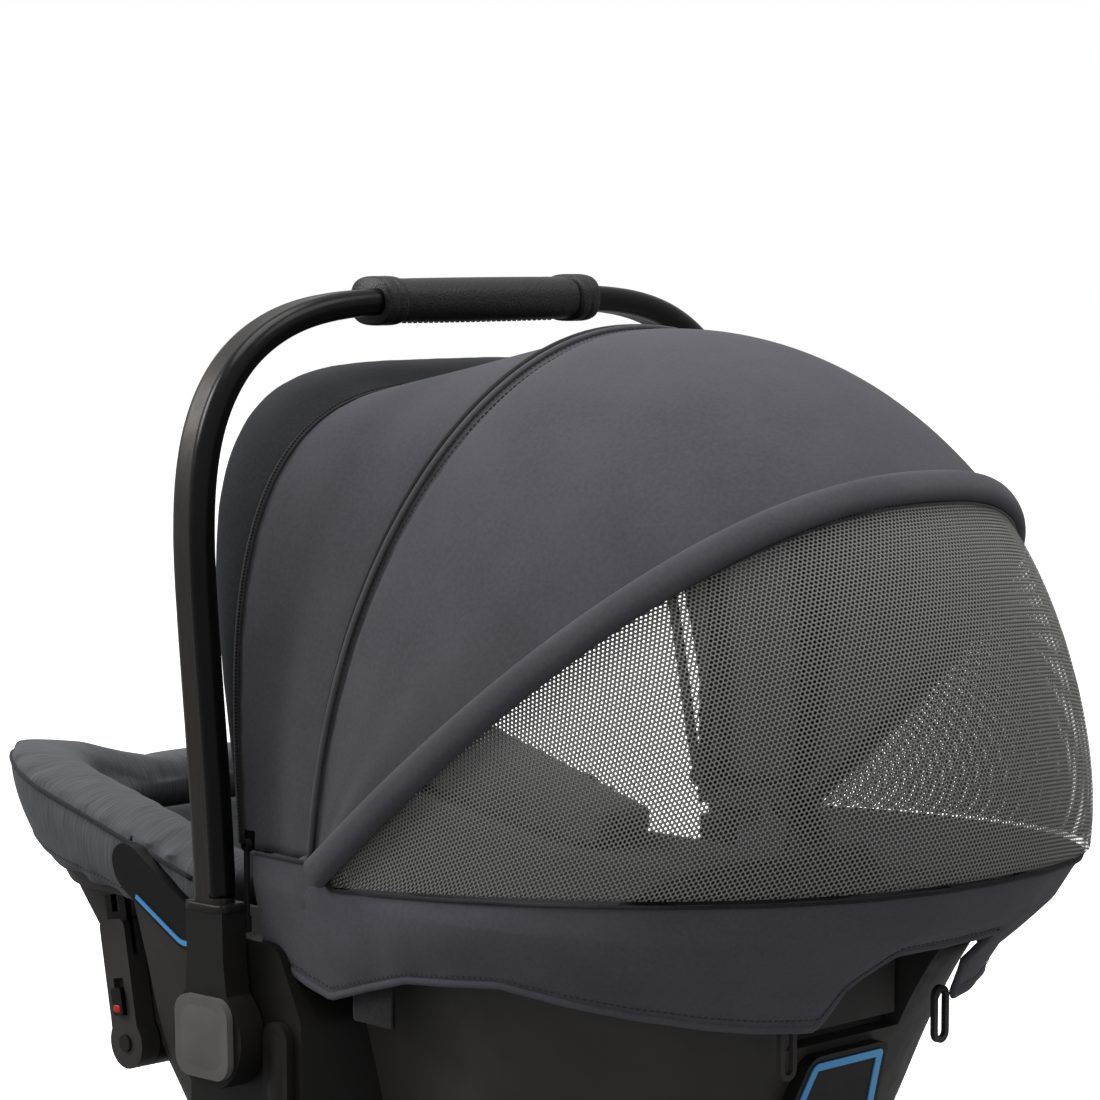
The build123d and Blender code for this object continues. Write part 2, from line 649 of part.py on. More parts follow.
def crotch_strap(grow=0):
    """Strap between the legs, from the pad up to the buckle."""
    run = on_back(-13 - grow, 13 + grow, -4 - grow, buckle_low - fit + grow,
                  strap_lift - grow, strap_lift + strap_thickness + grow)
    leg = on_back(-13 - grow, 13 + grow, -6 - grow, -4 + grow, -44 - grow,
                  strap_lift + strap_thickness + grow)
    return run + leg


def make_buckle(tongues):
    """Buckle body with a pocket for the button and slots for the tongues."""
    body = on_back(-buckle_half, buckle_half, buckle_low, buckle_high, fit, fit + buckle_thickness)
    pocket = on_back(-9 - fit, 9 + fit, buckle_low + 8 - fit, buckle_low + 34 + fit,
                     buckle_thickness - 6, buckle_thickness + 2)
    body = body - pocket
    for tongue in tongues:
        body = body - tongue
    return body


def harness_pad(strap):
    """Soft sleeve round the shoulder strap."""
    return on_back(strap_x - 19.5, strap_x + 19.5, 142, 200, 1, 13) - strap


def chest_clip(straps):
    """Clip across the chest, with channels for both straps."""
    body = on_back(-clip_half, clip_half, clip_along, clip_along + clip_height - 14, 1, 11)
    for strap in straps:
        body = body - strap
    return body


def make_head_support():
    """U-shaped pillow round the head."""
    outer = RectangleRounded(184, 96, 40)
    room = Pos(0, -40) * RectangleRounded(114, 124, 40)
    place = back_plane().offset(fit)
    return extrude(place * (Pos(0, 222) * (outer - room)), amount=34)


# Harness adjuster on the front of the seat
def front_plane():
    """Face of the pad on the seat's front slope: Y runs down it and Z stands off it."""
    (y0, z0), (y1, z1) = seat_floor[2], seat_floor[3]
    run = hypot(y1 - y0, z1 - z0)
    normal = (-(z1 - z0) / run, (y1 - y0) / run)
    return Plane(origin=(0, back((y0 + y1) / 2) + normal[0] * pad_thickness, (z0 + z1) / 2 + normal[1] * pad_thickness),
                 x_dir=(1, 0, 0), z_dir=(0, *normal))


def on_front(x0, x1, y0, y1, z0, z1):
    """Box on the front slope, given by its two corners there."""
    middle = Location(((x0 + x1) / 2, (y0 + y1) / 2, (z0 + z1) / 2))
    return front_plane() * (middle * Box(abs(x1 - x0), abs(y1 - y0), abs(z1 - z0)))


def make_adjuster():
    """Housing, push button and pull strap of the harness adjuster."""
    housing = on_front(-20, 20, -20, 8, fit, 10) - on_front(-11 - fit, 11 + fit, -15 - fit, 2 + fit, 4, 12)
    strap = on_front(-12.5, 12.5, 8 + fit, 38, 3, 5)
    button = on_front(-11, 11, -15, 2, 4 + 3 + fit, 13)
    return housing, strap, button


def write(name, *shapes):
    """Writes one node as a STEP file of separate solids."""
    solids = [solid for shape in shapes for solid in shape.solids()]
    export_step(solids[0] if len(solids) == 1 else Compound(solids), f"parts/{name}.step")
    print(name, len(solids))


os.makedirs("parts", exist_ok=True)

filled_shell = shell_block(0) - latch_recess(0)
inner_shell = shell_block(shell_wall, shell_wall) - latch_recess(shell_wall)
foam_room = shell_block(shell_wall + fit, shell_wall + fit) - latch_recess(shell_wall + fit)
release_block = make_release_block(filled_shell)
bracket = make_bracket(filled_shell)
write("shell", make_shell(filled_shell, inner_shell, release_block))

strap = shoulder_strap()
strap_slot = pair(shoulder_strap(0.4)) + pair(lap_strap(0.4)) + crotch_strap(0.4)
foam = make_foam(foam_room, cavity(0), release_block) - strap_slot
write("foam_liner", foam)
write("seat_pad", make_pad() - strap_slot)
bolster = make_bolster(filled_shell, inner_shell)
write("leg_bolster", bolster)
write("apron", make_apron(filled_shell))

skid = block(58, 82, -84, 112, 0, shell_floor_z)
write("base_skids", pair(fillet(skid.edges().filter_by(Axis.Z), 11)))

path = handle_path()
bar = handle_bar(path)
write("handle_tube", lean(bar - handle_bar(path, tube_wall)))
leg = make_leg()
badge = make_badge()
housing = make_hub_housing(filled_shell)
release_paddle = make_paddle()
axle = x_cylinder(axle_radius, shell_half_width - 20, hub_face_x - 1, 0, hub_z) - filled_shell
band = grip_piece(grip_half_length + fit, grip_half_length + fit + band_length, band_extra, bar)
write("grip_sleeve", lean(grip_piece(-grip_half_length, grip_half_length, 0, bar)))
write("grip_bands", lean(pair(band)))

write("mid_bow", make_fan_bow(mid_angle, mid_bow_half, mid_height, mid_power))
write("rear_bow", make_fan_bow(rear_angle, rear_bow_half, rear_height, hood_power))
write("front_bow", make_front_bow())
write("visor_bow", make_visor_bow())
write("visor", make_visor())
write("front_panel", make_front_panel())
write("main_panel", make_main_panel())
write("mesh_panel", make_mesh_panel())
write("canopy_brackets", pair(bracket))
write("canopy_pins", pair(x_cylinder(pivot_pin_radius, bracket_x1 - 8, rear_bow_half + 0.5, pivot_back, pivot_z)))

side_guide, side_stripe = make_side_guide(filled_shell, bolster)
write("side_belt_guides", pair(side_guide))
rear_guide, rear_stripe = make_rear_guide(filled_shell)
write("rear_belt_guide", rear_guide)
write("guide_stripes", pair(side_stripe), rear_stripe)
write("release_housing", make_release_housing(release_block))
write("release_lever", make_lever())

write("tag_loops", pair(make_tag()))
write("hem_hooks", pair(make_hem_hook()))
write("zip_sliders", pair(make_slider()))

tongue = make_tongue()
straps = [strap, mirrored(strap)]
write("shoulder_straps", pair(strap - tongue))
write("lap_straps", pair(lap_strap()))
write("buckle_tongues", pair(tongue))
write("crotch_strap", crotch_strap())
write("buckle", make_buckle([tongue, mirrored(tongue)]))
write("buckle_button", on_back(-9, 9, buckle_low + 8, buckle_low + 34, buckle_thickness - 2,
                               buckle_thickness + 1.5))
write("harness_pads", pair(harness_pad(strap)))
write("chest_clip", chest_clip(straps))
write("head_support", make_head_support())
adjuster, adjuster_strap, adjuster_button = make_adjuster()
write("adjuster_housing", adjuster)
write("adjuster_strap", adjuster_strap)
write("adjuster_button", adjuster_button)

latch_bracket = make_latch_bracket(filled_shell)
for side, place in (("left", lambda shape: shape), ("right", mirrored)):
    write(f"handle_leg_{side}", lean(place(leg) - bar))
    write(f"hub_badge_{side}", lean(place(badge)))
    write(f"hub_housing_{side}", place(housing))
    write(f"handle_release_{side}", place(release_paddle))
    write(f"latch_bracket_{side}", place(latch_bracket))
    write(f"latch_arm_{side}", place(make_latch_arm()))
    write(f"latch_jaw_{side}", place(make_latch_jaw()))
    write(f"latch_button_{side}", place(make_latch_button()))
    write(f"zip_pull_{side}", make_pull() if side == "left" else Pos(-2 * (slider_x + 2), 0, 0) * make_pull())
write("hub_axles", pair(axle))
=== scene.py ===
import json
from math import atan2, cos, hypot, pi, radians, sin

import bmesh
import bpy
import numpy as np
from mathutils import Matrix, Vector
from mathutils.bvhtree import BVHTree


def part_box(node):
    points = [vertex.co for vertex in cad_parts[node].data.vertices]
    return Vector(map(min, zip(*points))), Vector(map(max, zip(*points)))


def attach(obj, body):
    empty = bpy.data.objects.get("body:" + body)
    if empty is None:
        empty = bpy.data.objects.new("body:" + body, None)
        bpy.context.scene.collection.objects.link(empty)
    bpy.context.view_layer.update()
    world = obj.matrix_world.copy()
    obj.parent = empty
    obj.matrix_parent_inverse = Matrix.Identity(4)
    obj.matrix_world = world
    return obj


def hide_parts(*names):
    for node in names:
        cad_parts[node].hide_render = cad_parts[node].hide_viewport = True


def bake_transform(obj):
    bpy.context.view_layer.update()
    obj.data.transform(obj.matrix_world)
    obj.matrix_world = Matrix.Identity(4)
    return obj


# Infant car seat: cloth, nets, pads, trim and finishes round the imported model.
# Lengths in the dictionaries are millimetres, and Y is counted back from the handle's hub axis.

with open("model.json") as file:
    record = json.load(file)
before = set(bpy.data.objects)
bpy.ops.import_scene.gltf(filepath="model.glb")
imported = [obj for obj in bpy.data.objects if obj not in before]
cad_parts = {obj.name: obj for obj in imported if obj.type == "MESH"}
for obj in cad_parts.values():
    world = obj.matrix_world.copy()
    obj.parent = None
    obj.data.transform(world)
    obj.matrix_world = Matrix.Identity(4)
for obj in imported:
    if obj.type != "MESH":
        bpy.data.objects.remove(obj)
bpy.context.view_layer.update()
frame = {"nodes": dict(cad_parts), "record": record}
mm = 0.001


def boxCentre(node):
    low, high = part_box(node)
    return (low + high) / 2


hubY = boxCentre("hub_axles").y / mm
hubZ = boxCentre("hub_axles").z / mm
pivotBack = boxCentre("canopy_pins").y / mm - hubY
pivotZ = boxCentre("canopy_pins").z / mm


def toFrame(points):
    # millimetres behind the hub axis to metres in the part's own frame
    return (np.asarray(points, float) + np.array([0, hubY, 0])) * mm


def unit(v):
    return v / np.maximum(np.linalg.norm(v, axis=-1, keepdims=True), 1e-12)


def smoothStep(x, low, high):
    s = np.clip((x - low) / (high - low), 0, 1)
    return s * s * (3 - 2 * s)


def addObject(name, vertices, faces, material, uvs=None, smooth=True):
    mesh = bpy.data.meshes.new(name)
    mesh.from_pydata(vertices.reshape(-1, 3).tolist(), [], faces)
    if uvs is not None:
        layer = mesh.uv_layers.new(name="cloth")
        index = np.zeros(len(mesh.loops), np.int32)
        mesh.loops.foreach_get("vertex_index", index)
        layer.data.foreach_set("uv", uvs.reshape(-1, 2)[index].astype(np.float32).ravel())
    mesh.polygons.foreach_set("use_smooth", np.full(len(mesh.polygons), smooth))
    mesh.materials.append(material)
    mesh.update()
    piece = bpy.data.objects.new(name, mesh)
    bpy.context.scene.collection.objects.link(piece)
    return piece


def gridFaces(rows, columns, closeRows=False, closeColumns=False, first=0):
    # quads between neighbouring rows and columns of a grid, wrapping round where it closes
    r = np.arange(rows if closeRows else rows - 1)
    c = np.arange(columns if closeColumns else columns - 1)
    r, c = (a.ravel() for a in np.meshgrid(r, c, indexing="ij"))
    r2, c2 = (r + 1) % rows, (c + 1) % columns
    return np.stack([r * columns + c, r2 * columns + c, r2 * columns + c2, r * columns + c2], -1) + first


def gridNormals(grid):
    return unit(np.cross(np.gradient(grid, axis=0), np.gradient(grid, axis=1)))


def gridUvs(grid):
    # lengths along the cloth, in metres, counted from the middle of each direction
    def along(axis):
        step = np.linalg.norm(np.diff(grid, axis=axis), axis=-1)
        total = np.insert(np.cumsum(step, axis=axis), 0, 0, axis=axis)
        return total - total.mean(axis=axis, keepdims=True)
    return np.stack([along(1), along(0)], -1)


def slab(name, grid, thickness, material, flip=False):
    # sheet with a real thickness: the grid, the same grid moved in along its normals, and four edge strips
    rows, columns = grid.shape[:2]
    normals = gridNormals(grid) * (-1 if flip else 1)
    inner = grid - normals * thickness
    vertices = np.concatenate([grid.reshape(-1, 3), inner.reshape(-1, 3)])
    outerFaces = gridFaces(rows, columns)
    innerFaces = gridFaces(rows, columns, first=rows * columns)[:, ::-1]
    index = np.arange(rows * columns).reshape(rows, columns)
    edge = np.concatenate([index[0, :-1], index[:-1, -1], index[-1, :0:-1], index[:0:-1, 0]])
    nextEdge = np.roll(edge, -1)
    strip = np.stack([edge, nextEdge, nextEdge + rows * columns, edge + rows * columns], -1)
    faces = np.concatenate([outerFaces, innerFaces, strip])
    if flip:
        faces = faces[:, ::-1]
    uvs = gridUvs(grid)
    piece = addObject(name, vertices, faces.tolist(), material, np.concatenate([uvs, uvs]))
    return faceOutwards(piece)


def faceOutwards(piece):
    # turns the faces of a closed mesh to point out of it
    work = bmesh.new()
    work.from_mesh(piece.data)
    bmesh.ops.remove_doubles(work, verts=work.verts, dist=1e-7)
    bmesh.ops.recalc_face_normals(work, faces=work.faces)
    work.to_mesh(piece.data)
    work.free()
    return piece


def sweep(name, path, reference, profile, material, closed=False):
    # profile of (side, up) offsets carried along a path: up follows the reference, side is across it
    path = np.asarray(path, float)
    profile = np.asarray(profile, float)
    if closed:
        tangent = unit(np.roll(path, -1, 0) - np.roll(path, 1, 0))
    else:
        tangent = unit(np.gradient(path, axis=0))
    reference = np.broadcast_to(np.asarray(reference, float), path.shape)
    up = unit(reference - (reference * tangent).sum(-1, keepdims=True) * tangent)
    side = np.cross(tangent, up)
    grid = path[:, None] + side[:, None] * profile[None, :, :1] + up[:, None] * profile[None, :, 1:]
    rows, columns = grid.shape[:2]
    faces = gridFaces(rows, columns, closeRows=closed, closeColumns=True).tolist()
    if not closed:
        faces += [list(range(columns))[::-1], [(rows - 1) * columns + i for i in range(columns)]]
    around = np.linspace(0, 1, columns) * np.linalg.norm(np.diff(profile, axis=0), axis=1).sum()
    length = np.insert(np.cumsum(np.linalg.norm(np.diff(path, axis=0), axis=1)), 0, 0)
    uvs = np.stack(np.broadcast_arrays(length[:, None], around[None]), -1)
    return faceOutwards(addObject(name, grid, faces, material, uvs))


def superellipse(angle, power):
    # point at this angle on a superellipse of radius one: a circle at power two, squarer above it
    c, s = np.cos(angle), np.sin(angle)
    k = (np.abs(c) ** power + np.abs(s) ** power) ** (-1 / power)
    return c * k, s * k


def roundProfile(width, height, power=2.0, sides=16):
    # superellipse section, as wide and high as given
    across, up = superellipse(np.arange(sides) * 2 * pi / sides, power)
    return np.stack([across * width / 2, up * height / 2], -1)


def joinPieces(name, pieces):
    # several meshes of one material as one mesh of separate bodies
    work = bmesh.new()
    for piece in pieces:
        work.from_mesh(piece.data)
    mesh = bpy.data.meshes.new(name)
    work.to_mesh(mesh)
    work.free()
    mesh.materials.append(pieces[0].data.materials[0])
    for piece in pieces:
        bpy.data.objects.remove(piece)
    joined = bpy.data.objects.new(name, mesh)
    bpy.context.scene.collection.objects.link(joined)
    return joined


def stitches(name, path, up, lift, pitch, size, material):
    # short rounded threads laid end to end along a path, each an eight-sided spindle
    path, up = np.asarray(path, float), np.broadcast_to(np.asarray(up, float), np.shape(path))
    length = np.insert(np.cumsum(np.linalg.norm(np.diff(path, axis=0), axis=1)), 0, 0)
    at = np.arange(pitch, length[-1] - pitch, pitch)
    centre = np.stack([np.interp(at, length, path[:, i]) for i in range(3)], -1)
    ahead = np.stack([np.interp(at + pitch / 4, length, path[:, i]) for i in range(3)], -1)
    along = unit(ahead - centre)
    lifted = unit(np.stack([np.interp(at, length, up[:, i]) for i in range(3)], -1))
    across = unit(np.cross(along, lifted))
    lifted = np.cross(across, along)
    rings = np.array([-0.5, -0.36, 0.36, 0.5])
    girth = np.array([0.35, 1, 1, 0.35])
    a = np.arange(6) * pi / 3
    template = np.stack([np.repeat(rings * size[0], 6), np.outer(girth, np.cos(a)).ravel() * size[1] / 2,
                         np.outer(girth, np.sin(a)).ravel() * size[1] / 2], -1)
    points = (centre[:, None] + lifted[:, None] * lift + along[:, None] * template[None, :, :1]
              + across[:, None] * template[None, :, 1:2] + lifted[:, None] * template[None, :, 2:])
    quads = gridFaces(4, 6, closeColumns=True)
    starts = (np.arange(len(at)) * 24)[:, None, None]
    faces = (quads[None] + starts).reshape(-1, 4).tolist()
    caps = np.array([[5, 4, 3, 2, 1, 0], [18, 19, 20, 21, 22, 23]])
    faces += (caps[None] + starts).reshape(-1, 6).tolist()
    return faceOutwards(addObject(name, points, faces, material))


def srgb(hexColour):
    # sRGB hex, as "#rrggbb", to linear RGBA
    c = np.array([int(hexColour[i:i + 2], 16) for i in (1, 3, 5)]) / 255
    linear = np.where(c <= 0.04045, c / 12.92, ((c + 0.055) / 1.055) ** 2.4)
    return (*linear.tolist(), 1.0)


def addNode(tree, kind, settings=None, values=None, links=None):
    node = tree.nodes.new(kind)
    for name, value in (settings or {}).items():
        setattr(node, name, value)
    for key, value in (values or {}).items():
        node.inputs[key].default_value = value
    for key, source in (links or {}).items():
        tree.links.new(source, node.inputs[key])
    return node


def startMaterial(name, colour, **shaderValues):
    material = bpy.data.materials.new(name)
    material.use_nodes = True
    tree = material.node_tree
    shader = tree.nodes["Principled BSDF"]
    shader.inputs["Base Color"].default_value = srgb(colour)
    names = {"roughness": "Roughness", "metallic": "Metallic", "ior": "IOR", "sheen": "Sheen Weight",
             "sheenRoughness": "Sheen Roughness", "specular": "Specular IOR Level"}
    for key, value in shaderValues.items():
        shader.inputs[names[key]].default_value = value
    return material, tree, shader, addNode(tree, "ShaderNodeTexCoord").outputs


def noise(tree, vector, sizeMm, detail=2.0, stretch=(1, 1, 1)):
    # clouds whose lumps are about sizeMm across, longer where stretch is above one
    mapping = addNode(tree, "ShaderNodeMapping", values={"Scale": [1 / s for s in stretch]},
                      links={"Vector": vector})
    return addNode(tree, "ShaderNodeTexNoise", values={"Scale": 1 / (sizeMm * mm * 1.6), "Detail": detail},
                   links={"Vector": mapping.outputs[0]}).outputs["Fac"]


def twoTone(tree, shader, factor, low, high, hexLow, hexHigh):
    # the surface's colour goes from one shade to the other as the pattern rises from low to high
    spread = addNode(tree, "ShaderNodeMapRange", values={"From Min": low, "From Max": high},
                     links={"Value": factor})
    mix = addNode(tree, "ShaderNodeMixRGB", values={"Color1": srgb(hexLow), "Color2": srgb(hexHigh)},
                  links={"Fac": spread.outputs[0]})
    tree.links.new(mix.outputs[0], shader.inputs["Base Color"])
    return mix.outputs[0]


def relief(tree, shader, height, depthMm, strength=1.0, below=None):
    links = {"Height": height}
    if below:
        links["Normal"] = below
    bump = addNode(tree, "ShaderNodeBump", links=links,
                   values={"Strength": strength, "Distance": depthMm * mm})
    tree.links.new(bump.outputs[0], shader.inputs["Normal"])
    return bump.outputs[0]


def weave(tree, vector, threadMm):
    # over and under threads of a plain weave: the higher of two crossed rows of ridges
    settings = {"wave_type": "BANDS", "wave_profile": "SIN"}
    rows = [addNode(tree, "ShaderNodeTexWave", {**settings, "bands_direction": d},
                    {"Scale": 0.314 / (threadMm * mm), "Distortion": 0.6, "Detail": 1.0},
                    {"Vector": vector}).outputs["Fac"] for d in ("X", "Y")]
    both = addNode(tree, "ShaderNodeMath", {"operation": "MULTIPLY"}, links={0: rows[0], 1: rows[1]})
    return both.outputs[0]


print("materials")


def knitCloth(name, dark, light, sheen):
    # brushed polyester jersey: a soft matt face with faint clouding, and a short pile that lightens the edges
    material, tree, shader, coordinates = startMaterial(
        name, light, roughness=0.88, ior=1.5, sheen=sheen, sheenRoughness=0.5, specular=0.12)
    cloud = noise(tree, coordinates["Object"], 26, 4)
    pile = noise(tree, coordinates["Object"], 1.3, 3)
    both = addNode(tree, "ShaderNodeMath", {"operation": "ADD"}, links={0: cloud, 1: pile}).outputs[0]
    twoTone(tree, shader, both, 0.72, 1.28, dark, light)
    soft = relief(tree, shader, pile, 0.25, 0.5)
    relief(tree, shader, noise(tree, coordinates["Object"], 34, 2), 1.6, 0.5, soft)
    return material


def heatherCloth():
    # melange knit, two yarn shades spun together: fine streaks that run across the roll, as its courses do
    material, tree, shader, coordinates = startMaterial(
        "heatherKnit", "#4e4f52", roughness=0.9, ior=1.5, sheen=0.06, sheenRoughness=0.5, specular=0.12)
    streak = noise(tree, coordinates["UV"], 0.85, 3, (1, 18, 1))
    twoTone(tree, shader, streak, 0.3, 0.7, "#434447", "#57585b")
    ridge = relief(tree, shader, streak, 0.4, 0.7)
    relief(tree, shader, noise(tree, coordinates["Object"], 0.8, 2), 0.2, 0.5, ridge)
    return material


def netCloth():
    # warp-knitted net with round holes in a hexagonal order, 2.4 mm apart
    material, tree, shader, coordinates = startMaterial(
        "hexNet", "#525353", roughness=0.8, ior=1.5, sheen=0.05, specular=0.2)
    pitch = 2.4
    across = addNode(tree, "ShaderNodeVectorMath", {"operation": "SCALE"}, {"Scale": 1 / (pitch * mm)},
                     {0: coordinates["UV"]}).outputs[0]
    half = (0.5, 3 ** 0.5 / 2, 1.0)
    distances = []
    for shift in ((0, 0, 0), half):
        moved = addNode(tree, "ShaderNodeVectorMath", {"operation": "ADD"}, {1: shift[:2] + (0,)}, {0: across})
        cell = addNode(tree, "ShaderNodeVectorMath", {"operation": "WRAP"},
                       {1: half, 2: tuple(-h for h in half)}, {0: moved.outputs[0]})
        distances.append(addNode(tree, "ShaderNodeVectorMath", {"operation": "LENGTH"},
                                 links={0: cell.outputs[0]}).outputs["Value"])
    nearest = addNode(tree, "ShaderNodeMath", {"operation": "MINIMUM"},
                      links={0: distances[0], 1: distances[1]}).outputs[0]
    yarn = addNode(tree, "ShaderNodeMapRange", values={"From Min": 0.26, "From Max": 0.32},
                   links={"Value": nearest}).outputs[0]
    tree.links.new(yarn, shader.inputs["Alpha"])
    # painted highlight and shade: the yarn darkens towards the hole rims and lightens where the strands meet
    # and stand highest
    twoTone(tree, shader, nearest, 0.3, 0.56, "#333332", "#878784")
    relief(tree, shader, nearest, 0.5, 0.6)
    return material


def mouldedPlastic(name, dark, light, roughness, grainMm=0.5, depth=0.06):
    # injection moulded polypropylene or ABS: fine spark grain that scatters the highlight
    material, tree, shader, coordinates = startMaterial(
        name, light, roughness=roughness, ior=1.5, specular=0.18)
    cloud = noise(tree, coordinates["Object"], 45, 3)
    twoTone(tree, shader, cloud, 0.3, 0.7, dark, light)
    relief(tree, shader, noise(tree, coordinates["Object"], grainMm, 4), depth, 0.7)
    rough = addNode(tree, "ShaderNodeMapRange", values={"From Min": 0.3, "From Max": 0.7,
                                                       "To Min": roughness - 0.05, "To Max": roughness + 0.06},
                    links={"Value": noise(tree, coordinates["Object"], 6, 4)})
    tree.links.new(rough.outputs[0], shader.inputs["Roughness"])
    return material


def anodisedTube():
    # satin anodised aluminium, dark bronze grey, with the faint lines of drawing along it
    material, tree, shader, coordinates = startMaterial(
        "anodisedAluminium", "#4a4745", metallic=0.8, roughness=0.42)
    lines = noise(tree, coordinates["Object"], 0.5, 3, (1, 1, 60))
    twoTone(tree, shader, lines, 0.3, 0.7, "#302e2c", "#3d3a38")
    relief(tree, shader, lines, 0.02, 0.5)
    rough = addNode(tree, "ShaderNodeMapRange",
                    values={"From Min": 0.3, "From Max": 0.7, "To Min": 0.38, "To Max": 0.47},
                    links={"Value": noise(tree, coordinates["Object"], 5, 4)})
    tree.links.new(rough.outputs[0], shader.inputs["Roughness"])
    return material


def grainLeather():
    # embossed leatherette: rounded pebbles about a millimetre across, with a painted highlight on their tops
    # and painted shade in the hollows between them
    material, tree, shader, coordinates = startMaterial(
        "leatherette", "#121111", roughness=0.48, ior=1.5, specular=0.35)
    pebble = addNode(tree, "ShaderNodeTexVoronoi", {"feature": "SMOOTH_F1"},
                     {"Scale": 1 / (1.3 * mm), "Smoothness": 0.6},
                     {"Vector": coordinates["Object"]}).outputs["Distance"]
    # painted highlight and shade: lighter colour on the pebble tops, darker towards the hollows between them
    twoTone(tree, shader, pebble, 0.1, 0.7, "#151414", "#0a0a0a")
    inverse = addNode(tree, "ShaderNodeMath", {"operation": "SUBTRACT"}, {0: 1.0}, {1: pebble}).outputs[0]
    relief(tree, shader, inverse, 0.35, 0.6)
    return material


def plainMetal(name, dark, light, roughness):
    # stamped and plated steel: bright, with fine polishing lines and a little tarnish
    material, tree, shader, coordinates = startMaterial(name, light, metallic=1.0, roughness=roughness)
    wear = noise(tree, coordinates["Object"], 7, 5)
    twoTone(tree, shader, wear, 0.3, 0.7, dark, light)
    relief(tree, shader, noise(tree, coordinates["Object"], 0.4, 2, (1, 8, 1)), 0.02, 0.4)
    return material


def wovenWebbing(name, dark, light):
    # nylon webbing: ribs across the strap about 1.4 mm apart, drawn from its crossed threads
    material, tree, shader, coordinates = startMaterial(name, light, roughness=0.62, ior=1.53, sheen=0.2)
    rib = weave(tree, coordinates["Object"], 1.4)
    twoTone(tree, shader, rib, 0.1, 0.8, dark, light)
    relief(tree, shader, rib, 0.3, 0.8)
    return material


def beadFoam():
    # moulded expanded polypropylene: packed black beads three millimetres across with fine dark joints
    material, tree, shader, coordinates = startMaterial(
        "beadFoam", "#2e2e2f", roughness=0.75, ior=1.49, specular=0.3)
    bead = addNode(tree, "ShaderNodeTexVoronoi", {"feature": "DISTANCE_TO_EDGE"}, {"Scale": 1 / (3.2 * mm)},
                   {"Vector": coordinates["Object"]}).outputs["Distance"]
    twoTone(tree, shader, bead, 0.0, 0.12, "#171718", "#313132")
    relief(tree, shader, bead, 0.4, 0.5)
    return material


looks = {
    "canopy": knitCloth("canopyJersey", "#424147", "#4a494f", 0.05),
    "visor": knitCloth("brimJersey", "#28292c", "#313235", 0.03),
    "apron": knitCloth("apronJersey", "#47464d", "#4f4e55", 0.04),
    "lining": knitCloth("padJersey", "#3a3c3d", "#454749", 0.06),
    "heather": heatherCloth(),
    "net": netCloth(),
    "shell": mouldedPlastic("mouldedPolypropylene", "#2d2b2a", "#383635", 0.5),
    "leg": mouldedPlastic("mouldedNylon", "#151413", "#1e1c1b", 0.42),
    "darkTrim": mouldedPlastic("mouldedTrim", "#080808", "#0d0c0c", 0.46),
    "glossTrim": mouldedPlastic("glossAbs", "#050505", "#090909", 0.24, 0.4, 0.01),
    "badge": mouldedPlastic("satinCap", "#53514f", "#605e5d", 0.34, 0.3, 0.03),
    "tube": anodisedTube(),
    "leather": grainLeather(),
    "steel": plainMetal("platedSteel", "#8e8e8e", "#b4b4b2", 0.3),
    "blackSteel": plainMetal("blackOxideSteel", "#1c1c1d", "#2b2b2c", 0.38),
    "blue": mouldedPlastic("blueAbs", "#4b93cf", "#5ea3db", 0.26, 0.4, 0.02),
    "red": mouldedPlastic("redAbs", "#a81d18", "#bb2721", 0.3, 0.4, 0.02),
    "rubber": mouldedPlastic("blackRubber", "#121212", "#1b1b1b", 0.62),
    "webbing": wovenWebbing("nylonWebbing", "#1d1d1f", "#37373a"),
    "thread": knitCloth("sewingThread", "#2c2b2f", "#38373b", 0.2),
    "piping": knitCloth("pipingCord", "#1e1e20", "#2a2a2d", 0.1),
    "foam": beadFoam(),
}

finishOfSlot = {"shell_plastic": "shell", "foam": "foam", "body_fabric": "lining", "canopy_fabric": "canopy",
                "visor_fabric": "visor", "mesh": "net", "handle_paint": "tube", "grip_leather": "leather",
                "badge": "badge", "steel": "steel", "blue": "blue", "webbing": "webbing", "red": "red",
                "rubber": "rubber"}
nodesOfFinish = {
    "leg": """handle_leg_left handle_leg_right hub_housing_left hub_housing_right rear_belt_guide
              handle_release_left handle_release_right latch_bracket_left latch_bracket_right""",
    "darkTrim": "side_belt_guides latch_button_left latch_button_right",
    "leather": "grip_bands",
    "shell": "latch_arm_left latch_arm_right",
    "blackSteel": "latch_jaw_left latch_jaw_right zip_sliders",
}
ownFinish = {node: finish for finish, nodes in nodesOfFinish.items() for node in nodes.split()}
for subpart in frame["record"]["subparts"]:
    node = frame["nodes"][subpart["node"]]
    node.data.materials.clear()
    node.data.materials.append(looks[ownFinish.get(subpart["node"], finishOfSlot[subpart["material_slot"]])])


print("stage")

camera = {"distance": 1950, "azimuth": 42.9, "height": 625, "lens": 112.6, "turn": 0.99, "drop": 5.2}


def makeCamera():
    # stands behind the seat on its left, and looks a little past the hub axis and down
    azimuth, turn, drop = (radians(camera[k]) for k in ("azimuth", "turn", "drop"))
    heading = azimuth + pi + turn
    forward = Vector((sin(heading) * cos(drop), cos(heading) * cos(drop), -sin(drop)))
    data = bpy.data.cameras.new("camera")
    data.lens, data.sensor_width = camera["lens"], 36
    data.clip_start, data.clip_end = 0.05, 60
    piece = bpy.data.objects.new("camera", data)
    piece.location = toFrame((sin(azimuth) * camera["distance"], cos(azimuth) * camera["distance"],
                              camera["height"]))
    piece.rotation_euler = forward.to_track_quat("-Z", "Y").to_euler()
    bpy.context.scene.collection.objects.link(piece)
    bpy.context.scene.camera = piece


# place, height aimed at, size and power of each lamp, in metres and watts
lights = {
    "keyLight": ((-1.2, 1.9, 2.6), 0.3, 1.6, 19),
    "sideLight": ((1.9, -2.2, 2.1), 0.35, 1.4, 56),
    "topLight": ((0.2, 0.0, 2.8), 0.3, 2.0, 46),
}


